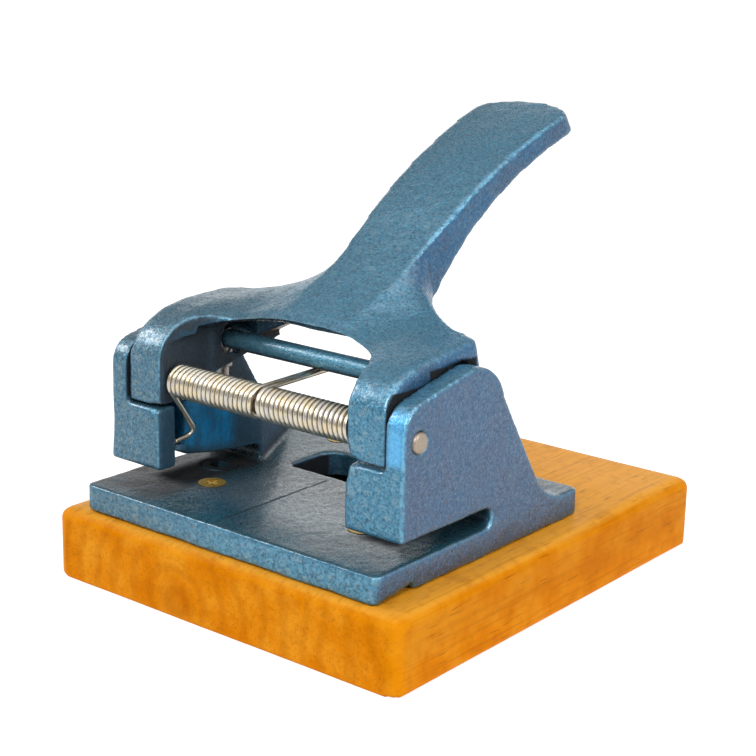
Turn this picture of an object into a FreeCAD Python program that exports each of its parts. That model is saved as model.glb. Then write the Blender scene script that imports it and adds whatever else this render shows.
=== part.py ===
"""Heavy-duty two-hole paper punch: an iron casting on a wooden block, with a sprung hand lever.

Frame: millimetres, +X to the right, +Y to the rear, +Z up, from the centre of the block's underside.
Paper goes in from the front under both cheeks. The lever turns on the pivot pin and drives two punches down.
"""
import FreeCAD
import Part

import math
import os

from FreeCAD import Placement, Rotation, Vector

# Wooden block
BLOCK_WIDTH = 130.0
BLOCK_DEPTH = 153.0
BLOCK_HEIGHT = 22.0
BLOCK_TOP_ROUND = 3.0
BLOCK_CORNER_ROUND = 2.5
CHIP_HOLE_DIAMETER = 9.0

# Base plate
PLATE_WIDTH = 112.0
PLATE_DEPTH = 98.4
PLATE_THICKNESS = 8.5
PLATE_SETBACK = 2.6
PLATE_CORNER_ROUND = 2.5
WINDOW_WIDTH = 48.0
WINDOW_DEPTH = 20.5
WINDOW_SETBACK = 54.9
WINDOW_FRONT_ROUND = 2.5
WINDOW_REAR_ROUND = 6.0
GUIDE_LINE_WIDTH = 0.9
GUIDE_LINE_DEPTH = 0.5
GUIDE_LINE_X = -5.0
GUIDE_LINE_SETBACK = 4.4
GUIDE_LINE_LENGTH = 48.0
RELIEF_SETBACK = 1.6
RELIEF_LENGTH = 15.0
RELIEF_FRONT_HEIGHT = 0.5
RELIEF_REAR_HEIGHT = 2.4
RELIEF_REACH = 9.0

# Paper throat and the holes it is punched with
THROAT_HEIGHT = 5.8
THROAT_DEPTH = 52.2
HOLE_SPACING = 80.0
HOLE_MARGIN = 12.0
PUNCH_DIAMETER = 6.0

# Cheeks, stop columns and punch guides of the casting
CHEEK_WALL = 6.5
CHEEK_SETBACK = 10.3
CHEEK_NOSE_RADIUS = 8.4
CHEEK_NOSE_RISE = 10.8
CHEEK_CREST = (21.9, 15.4)
CHEEK_SHOULDER = (33.7, 12.6)
CHEEK_SHOULDER_END = (39.2, 4.6)
CHEEK_FOOT_TOP = (64.1, 9.5)
CHEEK_FOOT_BEND = (70.0, 3.3)
CHEEK_FOOT_REACH = 79.0
COLUMN_REACH = 20.25
COLUMN_DEPTH = 7.1
LEDGE_HEIGHT = 19.2
GUIDE_FRONT_GAP = 9.7
GUIDE_HEIGHT = 17.6
GUIDE_TAPER = 31.0
GUIDE_TAPER_HEIGHT = 3.0
GUIDE_FRONT_REACH = 7.1
GUIDE_SIDE_WALL = 4.4
GUIDE_REAR_WALL = 6.8
GUIDE_BOW_LEAD = 2.0

# Pivot pin and lever, with the lever's places measured from the pivot axis as (rearward, upward)
PIVOT_DIAMETER = 6.0
PIVOT_SETBACK = 7.0
PIVOT_RISE = 8.05
PIN_PROUD = 0.6
ARM_OUTER_GAP = 0.4
ARM_THICKNESS = 13.5
ARM_FRONT = 6.3
ARM_HEEL = 5.5
ARM_NOSE_RADIUS = 8.7
ARM_NOSE_RISE = 14.55
ARM_HEEL_BEND = 0.3
STOP_GAP = 0.8
WEB_SLOPE = 10.5
WEB_THICKNESS = 2.2
WEB_FRONT = 17.9
WEB_REAR = 58.4
WEB_REAR_LEAN = 0.29
WEB_REAR_BEND = (25.2, 45.6)
WEB_REAR_HALF_WIDTH = 15.0
WEB_OPENING_BEND = (21.0, 15.4)
WEB_OPENING_SHOULDER = (29.4, 10.6)
WEB_OPENING_SIDE = (34.0, 3.0)
RIB_BEND = (22.5, 41.5)
RIB_REAR = 51.5
RIB_HALF_WIDTH = 10.0
RIB_VAULT_SIDE = 8.0
RIB_VAULT_CROWN = 16.8
RIB_VAULT_HALF_WIDTH = 17.0
BOSS_THICKNESS = 15.6
BOSS_FRONT = 11.1
BOSS_DROP = 1.05
BOSS_SLOPE = 12.0
BOSS_ROUND = 3.3
ARM_REAR = 35.6
ARM_REAR_ROUND = 3.0
GRIP_BEND = (62.0, 43.7)
GRIP_SLOPE = 35.0
GRIP_SWEEP_RADIUS = 222.0
GRIP_ROOT = 32.0
GRIP_ROOT_HALF_WIDTH = 12.4
GRIP_TIP_HALF_WIDTH = 17.2
GRIP_TIP = 129.8
GRIP_TIP_LOW = (133.0, 68.9)
GRIP_UNDERSIDE_MIDDLE = (89.3, 50.2)
GRIP_UNDERSIDE_ROOT = (62.4, 27.6)
GRIP_HEEL = (58.6, 19.0)
GRIP_LENGTH = 150.4
GRIP_CORNER_INSET = 0.8
GRIP_CORNER_SETBACK = 6.4
GRIP_CORNER_LEAD = 3.6
FLARE_STATIONS = (10.0, 22.0, 30.0, 38.0, 46.0, 53.0, 58.0)
FLARE_REACHES = (36.0, 36.0, 38.0, 38.0, 27.5, 18.8, 15.2)
FLARE_HOLLOW = 0.40

# Punches, cross rod and dies
ROD_DIAMETER = 6.0
ROD_END_DIAMETER = 4.0
ROD_RISE = 8.55
ROD_HOLE_RADIUS = 4.7
ROD_HOLE_FRONT = (22.3, 9.1)
ROD_HOLE_REAR = (27.8, 10.5)
PUNCH_TIP_LIFT = 0.6
PUNCH_TIP_NOTCH = 0.9
PUNCH_HEAD_DIAMETER = 8.0
PUNCH_HEAD_RISE = 12.45
PUNCH_HEAD_LENGTH = 13.0
PUNCH_DOME_RADIUS = 10.0
POCKET_FRONT = 7.4
POCKET_REAR = 6.6
DIE_DIAMETER = 11.0
DIE_LAND = 3.0
DIE_RELIEF_DIAMETER = 7.5

# Return spring
SPRING_WIRE = 1.5
SPRING_MEAN_RADIUS = 4.3
SPRING_PITCH = 1.78
SPRING_TURNS = 18
SPRING_LOOP_HALF_WIDTH = 1.45
SPRING_LOOP_OVERHANG = 4.0
SPRING_LEG_DROP = 53.0
SPRING_LEG_LENGTH = 16.0
SPRING_HOOK_HEADING = (0.27, -0.93, -0.25)
SPRING_HOOK_BEND = 2.2
SPRING_EASE_BEND = 20.0

# Wood screws
SCREW_HEAD_DIAMETER = 8.5
SCREW_SHANK_DIAMETER = 4.0
SCREW_LENGTH = 25.0
SCREW_POINT = 4.0
SCREW_SPACING = 59.4
SCREW_FRONT_SETBACK = 26.3
SCREW_REAR_SETBACK = 86.5
RECESS_WIDTH = 1.2
RECESS_SPAN = 4.6
RECESS_DEPTH = 1.6

# Fits
SEAT_CLEARANCE = 0.02
RUNNING_CLEARANCE = 0.06
POCKET_CLEARANCE = 0.3
HEAD_GAP = 0.25
SPRING_GAP = 0.05
OVERCUT = 1.0

# Places that follow from the sizes above
HALF_WIDTH = PLATE_WIDTH / 2
PLATE_FRONT = PLATE_SETBACK - BLOCK_DEPTH / 2
PLATE_TOP = BLOCK_HEIGHT + PLATE_THICKNESS
THROAT_TOP = PLATE_TOP + THROAT_HEIGHT
THROAT_END = PLATE_FRONT + THROAT_DEPTH
LEDGE_TOP = THROAT_TOP + LEDGE_HEIGHT
GUIDE_TOP = THROAT_TOP + GUIDE_HEIGHT
CHEEK_FRONT = PLATE_FRONT + CHEEK_SETBACK
COLUMN_REAR = CHEEK_FRONT + COLUMN_DEPTH
CHEEK_INNER = HALF_WIDTH - CHEEK_WALL
PIVOT_Y = CHEEK_FRONT + PIVOT_SETBACK
PIVOT_Z = LEDGE_TOP + PIVOT_RISE
PIN_BORE_RADIUS = PIVOT_DIAMETER / 2 + SEAT_CLEARANCE
ARM_OUTER = CHEEK_INNER - ARM_OUTER_GAP
ARM_INNER = ARM_OUTER - ARM_THICKNESS
BOSS_INNER = ARM_OUTER - BOSS_THICKNESS
PUNCH_X = HOLE_SPACING / 2
PUNCH_Y = THROAT_END - HOLE_MARGIN
PUNCH_REACH = PUNCH_Y - PIVOT_Y
SIDES = (-1, 1)


def side_view(rearward, upward):
    """Place a point of the mid plane from its distances behind and above the pivot axis."""
    return Vector(0, PIVOT_Y + rearward, PIVOT_Z + upward)


def plan_view(across, rearward):
    """Place a point at pivot height from its distances to the right of and behind the pivot axis."""
    return Vector(across, PIVOT_Y + rearward, PIVOT_Z)


class Outline:
    """A flat closed outline of straight runs, arcs and smooth curves, drawn from point to point."""

    def __init__(self, place, *start):
        self.place = place
        self.first = place(*start)
        self.here = self.first
        self.edges = []

    def add(self, curve, end):
        """Append one edge that ends at the given point."""
        self.edges.append(curve.toShape())
        self.here = end
        return self

    def line(self, *end):
        """Draw a straight run."""
        point = self.place(*end)
        return self.add(Part.LineSegment(self.here, point), point)

    def arc(self, middle, end):
        """Draw an arc through a middle point."""
        point = self.place(*end)
        return self.add(Part.Arc(self.here, self.place(*middle), point), point)

    def curve(self, *points):
        """Draw one smooth curve through the given points."""
        places = [self.place(*point) for point in points]
        spline = Part.BSplineCurve()
        spline.interpolate([self.here] + places)
        return self.add(spline, places[-1])

    def wire(self):
        """Close the outline with a straight run if it is open."""
        if not self.here.isEqual(self.first, 1e-6):
            self.add(Part.LineSegment(self.here, self.first), self.first)
        return Part.Wire(self.edges)

    def prism(self, depth):
        """Extrude the closed outline along a vector."""
        return Part.Face(self.wire()).extrude(depth)

    def across(self, left, right):
        """Extrude a side outline from one X to another."""
        return self.prism(Vector(right - left, 0, 0)).translate(Vector(left, 0, 0))


def block(x_span, y_span, z_span):
    """Make a box from its spans along X, Y and Z."""
    size = [high - low for low, high in (x_span, y_span, z_span)]
    return Part.makeBox(*size, Vector(x_span[0], y_span[0], z_span[0]))


def post(radius, x, y, z_span):
    """Make an upright cylinder."""
    return Part.makeCylinder(radius, z_span[1] - z_span[0], Vector(x, y, z_span[0]))


def bar(radius, x_span, y, z):
    """Make a cylinder along X."""
    return Part.makeCylinder(radius, x_span[1] - x_span[0], Vector(x_span[0], y, z), Vector(1, 0, 0))


def span(side, near, far):
    """Give the X span between two distances from the mid plane, on one side."""
    return tuple(sorted((side * near, side * far)))


def upright_edges(shape):
    """List a shape's straight edges along Z."""
    boxes = [(edge, edge.BoundBox) for edge in shape.Edges]
    return [edge for edge, box in boxes if box.ZLength > max(box.XLength, box.YLength)]


def level_edges(shape, z):
    """List the edges that lie at one height."""
    return [edge for edge in shape.Edges if abs(edge.BoundBox.ZMin - z) + abs(edge.BoundBox.ZMax - z) < 1e-4]


def join(first, *others):
    """Fuse shapes into one and merge faces that run on."""
    return first.fuse(list(others)).removeSplitter()


def screw_places():
    """Give the four wood screws' names with their X and Y."""
    rows = {"front": SCREW_FRONT_SETBACK, "rear": SCREW_REAR_SETBACK}
    places = {}
    for row, setback in rows.items():
        for side, word in zip(SIDES, ("left", "right")):
            places[f"screw_{row}_{word}"] = (side * SCREW_SPACING / 2, PLATE_FRONT + setback)
    return places


def screw_blank(x, y, clearance):
    """Make a countersunk screw's outside, or with a clearance the hole that it seats in."""
    head = SCREW_HEAD_DIAMETER / 2 + clearance
    shank = SCREW_SHANK_DIAMETER / 2 + clearance
    tip = PLATE_TOP - SCREW_LENGTH - clearance
    profile = Outline(lambda radius, z: Vector(x + radius, y, z), 0, PLATE_TOP)
    profile.line(head, PLATE_TOP).line(shank, PLATE_TOP - (head - shank)).line(shank, tip + SCREW_POINT)
    profile.line(0, tip)
    return Part.Face(profile.wire()).revolve(Vector(x, y, 0), Vector(0, 0, 1), 360)


def wood_screw(x, y):
    """Make one wood screw with a cross recess in its head."""
    depth = (PLATE_TOP - RECESS_DEPTH, PLATE_TOP + OVERCUT)
    long_way = (-RECESS_SPAN / 2, RECESS_SPAN / 2)
    short_way = (-RECESS_WIDTH / 2, RECESS_WIDTH / 2)
    recess = block(long_way, short_way, depth).fuse(block(short_way, long_way, depth))
    recess.translate(Vector(x, y, 0))
    return screw_blank(x, y, 0).cut(recess)


def wood_base():
    """Make the wooden block with rounded edges, chip holes and screw holes."""
    half_width = BLOCK_WIDTH / 2
    half_depth = BLOCK_DEPTH / 2
    blank = block((-half_width, half_width), (-half_depth, half_depth), (0, BLOCK_HEIGHT))
    blank = blank.makeFillet(BLOCK_CORNER_ROUND, upright_edges(blank))
    blank = blank.makeFillet(BLOCK_TOP_ROUND, level_edges(blank, BLOCK_HEIGHT))
    through = (-OVERCUT, BLOCK_HEIGHT + OVERCUT)
    holes = [post(CHIP_HOLE_DIAMETER / 2, side * PUNCH_X, PUNCH_Y, through) for side in SIDES]
    holes += [screw_blank(x, y, SEAT_CLEARANCE) for x, y in screw_places().values()]
    return blank.cut(holes)


def cheek(side):
    """Make one cheek's outer wall, which rounds the pivot and slopes down to the rear foot."""
    nose = CHEEK_NOSE_RADIUS
    lean = math.atan2(CHEEK_CREST[1] - CHEEK_NOSE_RISE, CHEEK_CREST[0])
    nose_start = CHEEK_NOSE_RISE - nose * math.cos(lean)
    middle_turn = math.radians(135) + lean / 2
    centre = (nose - PIVOT_SETBACK, nose_start)
    nose_middle = (centre[0] + nose * math.cos(middle_turn), centre[1] + nose * math.sin(middle_turn))
    nose_end = (centre[0] - nose * math.sin(lean), CHEEK_NOSE_RISE)
    drop = PLATE_TOP - PIVOT_Z
    foot = CHEEK_FOOT_REACH - PIVOT_SETBACK
    outline = Outline(side_view, -PIVOT_SETBACK, drop - PLATE_THICKNESS)
    outline.line(-PIVOT_SETBACK, nose_start).arc(nose_middle, nose_end).line(*CHEEK_CREST)
    outline.arc(CHEEK_SHOULDER, CHEEK_SHOULDER_END)
    outline.line(CHEEK_FOOT_TOP[0] - PIVOT_SETBACK, drop + CHEEK_FOOT_TOP[1])
    outline.arc((CHEEK_FOOT_BEND[0] - PIVOT_SETBACK, drop + CHEEK_FOOT_BEND[1]), (foot, drop))
    outline.line(foot, drop - PLATE_THICKNESS)
    return outline.across(*span(side, CHEEK_INNER, HALF_WIDTH))


def punch_guide(side):
    """Make one punch guide from the plate up, bowed on its inner face and tapered into the cheek behind."""
    front = COLUMN_REAR + GUIDE_FRONT_GAP
    rear = THROAT_END + GUIDE_TAPER
    buried = CHEEK_INNER + CHEEK_WALL / 2
    bow = (PUNCH_X - GUIDE_SIDE_WALL, PUNCH_Y - GUIDE_BOW_LEAD)
    outline = Outline(lambda x, y: Vector(side * x, y, BLOCK_HEIGHT), buried, front)
    outline.line(CHEEK_INNER - GUIDE_FRONT_REACH, front).arc(bow, (PUNCH_X - GUIDE_REAR_WALL, THROAT_END))
    outline.line(CHEEK_INNER, rear).line(buried, rear)
    profile = Outline(lambda y, z: Vector(0, y, z), front, BLOCK_HEIGHT)
    profile.line(front, GUIDE_TOP).line(THROAT_END, GUIDE_TOP)
    profile.line(rear, PLATE_TOP + GUIDE_TAPER_HEIGHT).line(rear, BLOCK_HEIGHT)
    guide = outline.prism(Vector(0, 0, GUIDE_TOP - BLOCK_HEIGHT))
    return guide.common(profile.across(-HALF_WIDTH, HALF_WIDTH))


def stop_column(side):
    """Make one front column, whose top is the ledge under a fork arm."""
    x_span = span(side, HALF_WIDTH - COLUMN_REACH, HALF_WIDTH)
    return block(x_span, (CHEEK_FRONT, COLUMN_REAR), (BLOCK_HEIGHT, LEDGE_TOP))


def paper_throat():
    """Make the cut that the paper slides in, with its round rear end."""
    radius = THROAT_HEIGHT / 2
    width = (-HALF_WIDTH - OVERCUT, HALF_WIDTH + OVERCUT)
    straight = block(width, (PLATE_FRONT - OVERCUT, THROAT_END - radius), (PLATE_TOP, THROAT_TOP))
    return straight.fuse(bar(radius, width, THROAT_END - radius, PLATE_TOP + radius))


def plate_window():
    """Make the cut of the window behind the throat, rounder at its rear corners than in front."""
    front = PLATE_FRONT + WINDOW_SETBACK
    middle = front + WINDOW_DEPTH / 2
    through = (BLOCK_HEIGHT - OVERCUT, PLATE_TOP + OVERCUT)
    window = block((-WINDOW_WIDTH / 2, WINDOW_WIDTH / 2), (front, front + WINDOW_DEPTH), through)
    corners = upright_edges(window)
    window = window.makeFillet(WINDOW_REAR_ROUND, [edge for edge in corners if edge.CenterOfMass.y > middle])
    corners = [edge for edge in upright_edges(window) if edge.CenterOfMass.y < front + OVERCUT]
    return window.makeFillet(WINDOW_FRONT_ROUND, corners)


def plate_relief():
    """Make the cut of the shallow wedge under the plate's right front edge."""
    front = PLATE_FRONT + RELIEF_SETBACK
    rear = front + RELIEF_LENGTH
    outline = Outline(lambda y, z: Vector(0, y, BLOCK_HEIGHT + z), front, -OVERCUT)
    outline.line(front, RELIEF_FRONT_HEIGHT).line(rear, RELIEF_REAR_HEIGHT).line(rear, -OVERCUT)
    return outline.across(HALF_WIDTH - RELIEF_REACH, HALF_WIDTH + OVERCUT)


def guide_line():
    """Make the cut of the fine line on the plate that a sheet is set by."""
    front = PLATE_FRONT + GUIDE_LINE_SETBACK
    x_span = (GUIDE_LINE_X - GUIDE_LINE_WIDTH / 2, GUIDE_LINE_X + GUIDE_LINE_WIDTH / 2)
    z_span = (PLATE_TOP - GUIDE_LINE_DEPTH, PLATE_TOP + OVERCUT)
    return block(x_span, (front, front + GUIDE_LINE_LENGTH), z_span)


def base_casting():
    """Make the casting: plate, cheeks, stop columns and punch guides, with its machined holes."""
    plate_span = (PLATE_FRONT, PLATE_FRONT + PLATE_DEPTH)
    plate = block((-HALF_WIDTH, HALF_WIDTH), plate_span, (BLOCK_HEIGHT, PLATE_TOP))
    plate = plate.makeFillet(PLATE_CORNER_ROUND, upright_edges(plate))
    walls = [make(side) for side in SIDES for make in (cheek, punch_guide, stop_column)]
    casting = join(plate, *walls)
    pin_hole = bar(PIN_BORE_RADIUS, (-HALF_WIDTH - OVERCUT, HALF_WIDTH + OVERCUT), PIVOT_Y, PIVOT_Z)
    cuts = [paper_throat(), plate_window(), plate_relief(), guide_line(), pin_hole]
    for side in SIDES:
        guide_span = (PLATE_TOP, GUIDE_TOP + OVERCUT)
        seat_span = (BLOCK_HEIGHT - OVERCUT, PLATE_TOP + OVERCUT)
        cuts.append(post(PUNCH_DIAMETER / 2 + RUNNING_CLEARANCE, side * PUNCH_X, PUNCH_Y, guide_span))
        cuts.append(post(DIE_DIAMETER / 2 + SEAT_CLEARANCE, side * PUNCH_X, PUNCH_Y, seat_span))
    cuts += [screw_blank(x, y, SEAT_CLEARANCE) for x, y in screw_places().values()]
    return casting.cut(cuts)


def web_rise(rearward):
    """Give the height of the lever's web above the pivot axis."""
    nose_end = ARM_NOSE_RADIUS * (1 - math.sin(math.radians(WEB_SLOPE))) - ARM_FRONT
    return ARM_NOSE_RISE + (rearward - nose_end) * math.tan(math.radians(WEB_SLOPE))


def boss_rise(rearward):
    """Give the height of the bosses' underside above the pivot axis."""
    return (rearward - BOSS_FRONT) * math.tan(math.radians(BOSS_SLOPE)) - BOSS_DROP


def grip_rise(rearward):
    """Give the height of the grip's top above the pivot axis: two arcs that meet at the grip's bend."""
    slope = math.radians(GRIP_SLOPE)
    turn = math.copysign(GRIP_SWEEP_RADIUS, GRIP_BEND[0] - rearward)
    centre = (GRIP_BEND[0] - turn * math.sin(slope), GRIP_BEND[1] + turn * math.cos(slope))
    return centre[1] - math.copysign(math.sqrt(turn**2 - (rearward - centre[0]) ** 2), turn)


def grip_half_width(rearward):
    """Give half the grip's width where it rises from the web."""
    share = (rearward - GRIP_ROOT) / (GRIP_TIP - GRIP_ROOT)
    return GRIP_ROOT_HALF_WIDTH + share * (GRIP_TIP_HALF_WIDTH - GRIP_ROOT_HALF_WIDTH)


def fork_side():
    """Make the fork and web's side outline, as wide as the fork."""
    lean = math.radians(WEB_SLOPE)
    heel = LEDGE_TOP + STOP_GAP - PIVOT_Z
    nose = ARM_NOSE_RADIUS
    centre = (nose - ARM_FRONT, ARM_NOSE_RISE - nose * math.cos(lean))
    middle_turn = math.radians(135) + lean / 2
    nose_middle = (centre[0] + nose * math.cos(middle_turn), centre[1] + nose * math.sin(middle_turn))
    nose_end = (centre[0] - nose * math.sin(lean), ARM_NOSE_RISE)
    rear = WEB_REAR + GRIP_ROOT_HALF_WIDTH
    outline = Outline(side_view, -ARM_FRONT, heel)
    outline.line(-ARM_FRONT, centre[1]).arc(nose_middle, nose_end).line(rear, web_rise(rear))
    outline.line(rear, boss_rise(rear)).line(BOSS_FRONT, -BOSS_DROP)
    heel_bend = (
        BOSS_FRONT - (BOSS_FRONT - ARM_HEEL) * ARM_HEEL_BEND,
        heel + (-BOSS_DROP - heel) * ARM_HEEL_BEND,
    )
    outline.arc(heel_bend, (ARM_HEEL, heel))
    return outline.across(-ARM_OUTER, ARM_OUTER)


def fork_plan():
    """Make the fork and web's plan, whose rear edges sweep in to the grip and lean back as they go down."""
    inset = ARM_REAR_ROUND * (1 - math.sqrt(0.5))
    corner = ARM_OUTER - ARM_REAR_ROUND
    web_height = web_rise(ARM_REAR)
    height = 2 * GRIP_BEND[1]
    front = -ARM_FRONT - height
    outline = Outline(plan_view, -ARM_OUTER, front)
    outline.line(ARM_OUTER, front).line(ARM_OUTER, ARM_REAR - ARM_REAR_ROUND)
    outline.arc((ARM_OUTER - inset, ARM_REAR - inset), (corner, ARM_REAR))
    outline.arc(WEB_REAR_BEND, (WEB_REAR_HALF_WIDTH, WEB_REAR)).line(-WEB_REAR_HALF_WIDTH, WEB_REAR)
    outline.arc((-WEB_REAR_BEND[0], WEB_REAR_BEND[1]), (-corner, ARM_REAR))
    outline.arc((inset - ARM_OUTER, ARM_REAR - inset), (-ARM_OUTER, ARM_REAR - ARM_REAR_ROUND))
    plan = outline.prism(Vector(0, -WEB_REAR_LEAN * height, height))
    return plan.translate(Vector(0, WEB_REAR_LEAN * height / 2, web_height - height / 2))


def web_opening():
    """Make the cut of the arched opening in front of the web, through which the spring shows."""
    side, shoulder, bend = WEB_OPENING_SIDE, WEB_OPENING_SHOULDER, WEB_OPENING_BEND
    front = -ARM_FRONT - OVERCUT
    outline = Outline(plan_view, -ARM_INNER, front)
    outline.line(ARM_INNER, front).line(ARM_INNER, front / 2)
    right = [side, shoulder, bend, (0, WEB_FRONT)]
    left = [(-x, y) for x, y in (bend, shoulder, side)]
    outline.curve(*right, *left, (-ARM_INNER, front / 2))
    return outline.prism(Vector(0, 0, 2 * GRIP_BEND[1]))


def fork_hollow():
    """Make the cut between the fork arms and under the web, back to the rear rib."""
    front = -ARM_FRONT - OVERCUT
    rear_corner = ARM_REAR - ARM_REAR_ROUND
    boss_bend = (ARM_INNER + BOSS_INNER) / 2
    boss_bend_rear = BOSS_FRONT + BOSS_ROUND * math.sqrt(0.5)
    low = 2 * (LEDGE_TOP - PIVOT_Z)
    outline = Outline(plan_view, -ARM_INNER, front)
    outline.line(ARM_INNER, front).line(ARM_INNER, BOSS_FRONT)
    outline.arc((boss_bend, boss_bend_rear), (BOSS_INNER, BOSS_FRONT + BOSS_ROUND))
    outline.line(BOSS_INNER, rear_corner).arc(RIB_BEND, (RIB_HALF_WIDTH, RIB_REAR))
    outline.line(-RIB_HALF_WIDTH, RIB_REAR).arc((-RIB_BEND[0], RIB_BEND[1]), (-BOSS_INNER, rear_corner))
    outline.line(-BOSS_INNER, BOSS_FRONT + BOSS_ROUND)
    outline.arc((-boss_bend, boss_bend_rear), (-ARM_INNER, BOSS_FRONT))
    hollow = outline.prism(Vector(0, 0, 2 * GRIP_BEND[1])).translate(Vector(0, 0, low))
    rear = 2 * WEB_REAR
    under_web = Outline(side_view, front, 2 * low)
    under_web.line(rear, 2 * low).line(rear, web_rise(rear) - WEB_THICKNESS)
    under_web.line(front, web_rise(front) - WEB_THICKNESS)
    return hollow.common(under_web.across(-ARM_OUTER, ARM_OUTER))


def rib_vault():
    """Make the cut that arches the rear rib's lower edge up to the middle."""
    low = 2 * (LEDGE_TOP - PIVOT_Z)
    front = PIVOT_Y + BOSS_FRONT + BOSS_ROUND
    outline = Outline(lambda x, z: Vector(x, front, PIVOT_Z + z), -BOSS_INNER, low)
    outline.line(BOSS_INNER, low).line(BOSS_INNER, RIB_VAULT_SIDE)
    outline.line(RIB_VAULT_HALF_WIDTH, RIB_VAULT_CROWN)
    outline.line(-RIB_VAULT_HALF_WIDTH, RIB_VAULT_CROWN).line(-BOSS_INNER, RIB_VAULT_SIDE)
    return outline.prism(Vector(0, WEB_REAR, 0))


def grip():
    """Make the grip: its side outline trimmed by its plan, which is square to its slope."""
    middle = (GRIP_ROOT + GRIP_BEND[0]) / 2
    outer_middle = (GRIP_BEND[0] + GRIP_TIP) / 2
    outline = Outline(side_view, GRIP_ROOT, grip_rise(GRIP_ROOT))
    outline.arc((middle, grip_rise(middle)), GRIP_BEND)
    outline.arc((outer_middle, grip_rise(outer_middle)), (GRIP_TIP, grip_rise(GRIP_TIP)))
    outline.line(*GRIP_TIP_LOW).arc(GRIP_UNDERSIDE_MIDDLE, GRIP_UNDERSIDE_ROOT)
    outline.line(*GRIP_HEEL).line(GRIP_ROOT, web_rise(GRIP_ROOT) - WEB_THICKNESS / 2)
    sides = outline.across(-ARM_INNER, ARM_INNER)
    slope = math.radians(GRIP_SLOPE)
    along = Vector(0, math.cos(slope), math.sin(slope))
    square = Vector(0, -math.sin(slope), math.cos(slope))
    start = side_view(0, 0) - square * GRIP_LENGTH / 2
    corner = (GRIP_TIP_HALF_WIDTH - GRIP_CORNER_INSET, GRIP_LENGTH - GRIP_CORNER_SETBACK)
    corner_start = corner[1] - GRIP_CORNER_LEAD
    corner_end = GRIP_TIP_HALF_WIDTH - GRIP_CORNER_LEAD
    end_start = GRIP_LENGTH - GRIP_CORNER_LEAD
    plan = Outline(lambda x, u: start + Vector(x, 0, 0) + along * u, -GRIP_ROOT_HALF_WIDTH, GRIP_ROOT)
    plan.line(GRIP_ROOT_HALF_WIDTH, GRIP_ROOT).line(GRIP_TIP_HALF_WIDTH, corner_start)
    plan.arc(corner, (corner_end, end_start)).arc((0, GRIP_LENGTH), (-corner_end, end_start))
    plan.arc((-corner[0], corner[1]), (-GRIP_TIP_HALF_WIDTH, corner_start))
    return sides.common(plan.prism(square * GRIP_LENGTH))


def grip_flare():
    """Make the smooth rise from the web to the grip's sides, lofted through upright sections."""
    sections = []
    for rearward, reach in zip(FLARE_STATIONS, FLARE_REACHES):
        web = web_rise(rearward)
        top = grip_rise(rearward)
        half = grip_half_width(rearward)
        hollow = ((half + reach) / 2, web + (top - web) * FLARE_HOLLOW)
        buried = web - WEB_THICKNESS / 2
        section = Outline(lambda x, z: Vector(x, PIVOT_Y + rearward, PIVOT_Z + z), -reach, buried)
        section.line(reach, buried).line(reach, web).curve(hollow, (half, top)).line(-half, top)
        section.curve((-hollow[0], hollow[1]), (-reach, web))
        sections.append(section.wire())
    return Part.makeLoft(sections, True, False)


def punch_pocket(side):
    """Make the cut of the pocket in one boss that takes a punch's head, open below."""
    half = PUNCH_HEAD_DIAMETER / 2 + POCKET_CLEARANCE
    y_span = (PUNCH_Y - POCKET_FRONT, PUNCH_Y + POCKET_REAR)
    z_span = (LEDGE_TOP, PIVOT_Z + PUNCH_HEAD_RISE + HEAD_GAP)
    return block(span(side, PUNCH_X - half, PUNCH_X + half), y_span, z_span)


def rod_hole():
    """Make the cut of the oblong hole through both arms, in which the cross rod has play."""
    radius = ROD_HOLE_RADIUS
    front, rear = (Vector(0, *place) for place in (ROD_HOLE_FRONT, ROD_HOLE_REAR))
    along = (rear - front).normalize()
    up = Vector(0, -along.z, along.y) * radius
    ends = [(point.y, point.z) for point in (front - up, rear - up, rear + up, front + up)]
    tips = [(point.y, point.z) for point in (rear + along * radius, front - along * radius)]
    outline = Outline(side_view, *ends[0]).line(*ends[1]).arc(tips[0], ends[2])
    outline.line(*ends[3]).arc(tips[1], ends[0])
    return outline.across(-ARM_OUTER - OVERCUT, ARM_OUTER + OVERCUT)


def lever():
    """Make the hand lever: a fork on the pivot pin, a hollow web and the grip."""
    fork = fork_side().common(fork_plan()).cut([web_opening(), fork_hollow(), rib_vault()])
    flare = grip_flare().common(fork_plan()).cut(web_opening())
    casting = join(fork, flare, grip())
    bore = bar(PIVOT_DIAMETER / 2 + RUNNING_CLEARANCE, (-HALF_WIDTH, HALF_WIDTH), PIVOT_Y, PIVOT_Z)
    return casting.cut([bore, rod_hole()] + [punch_pocket(side) for side in SIDES])


def pivot_pin():
    """Make the pivot pin, which stands a little proud of both cheeks."""
    reach = HALF_WIDTH + PIN_PROUD
    return bar(PIVOT_DIAMETER / 2, (-reach, reach), PIVOT_Y, PIVOT_Z)


def cross_rod():
    """Make the cross rod, with ends turned down to fit the punches' heads."""
    shoulder = PUNCH_X - PUNCH_HEAD_DIAMETER / 2 - SEAT_CLEARANCE
    reach = PUNCH_X + PUNCH_HEAD_DIAMETER / 2
    middle = bar(ROD_DIAMETER / 2, (-shoulder, shoulder), PUNCH_Y, PIVOT_Z + ROD_RISE)
    return join(middle, bar(ROD_END_DIAMETER / 2, (-reach, reach), PUNCH_Y, PIVOT_Z + ROD_RISE))


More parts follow.
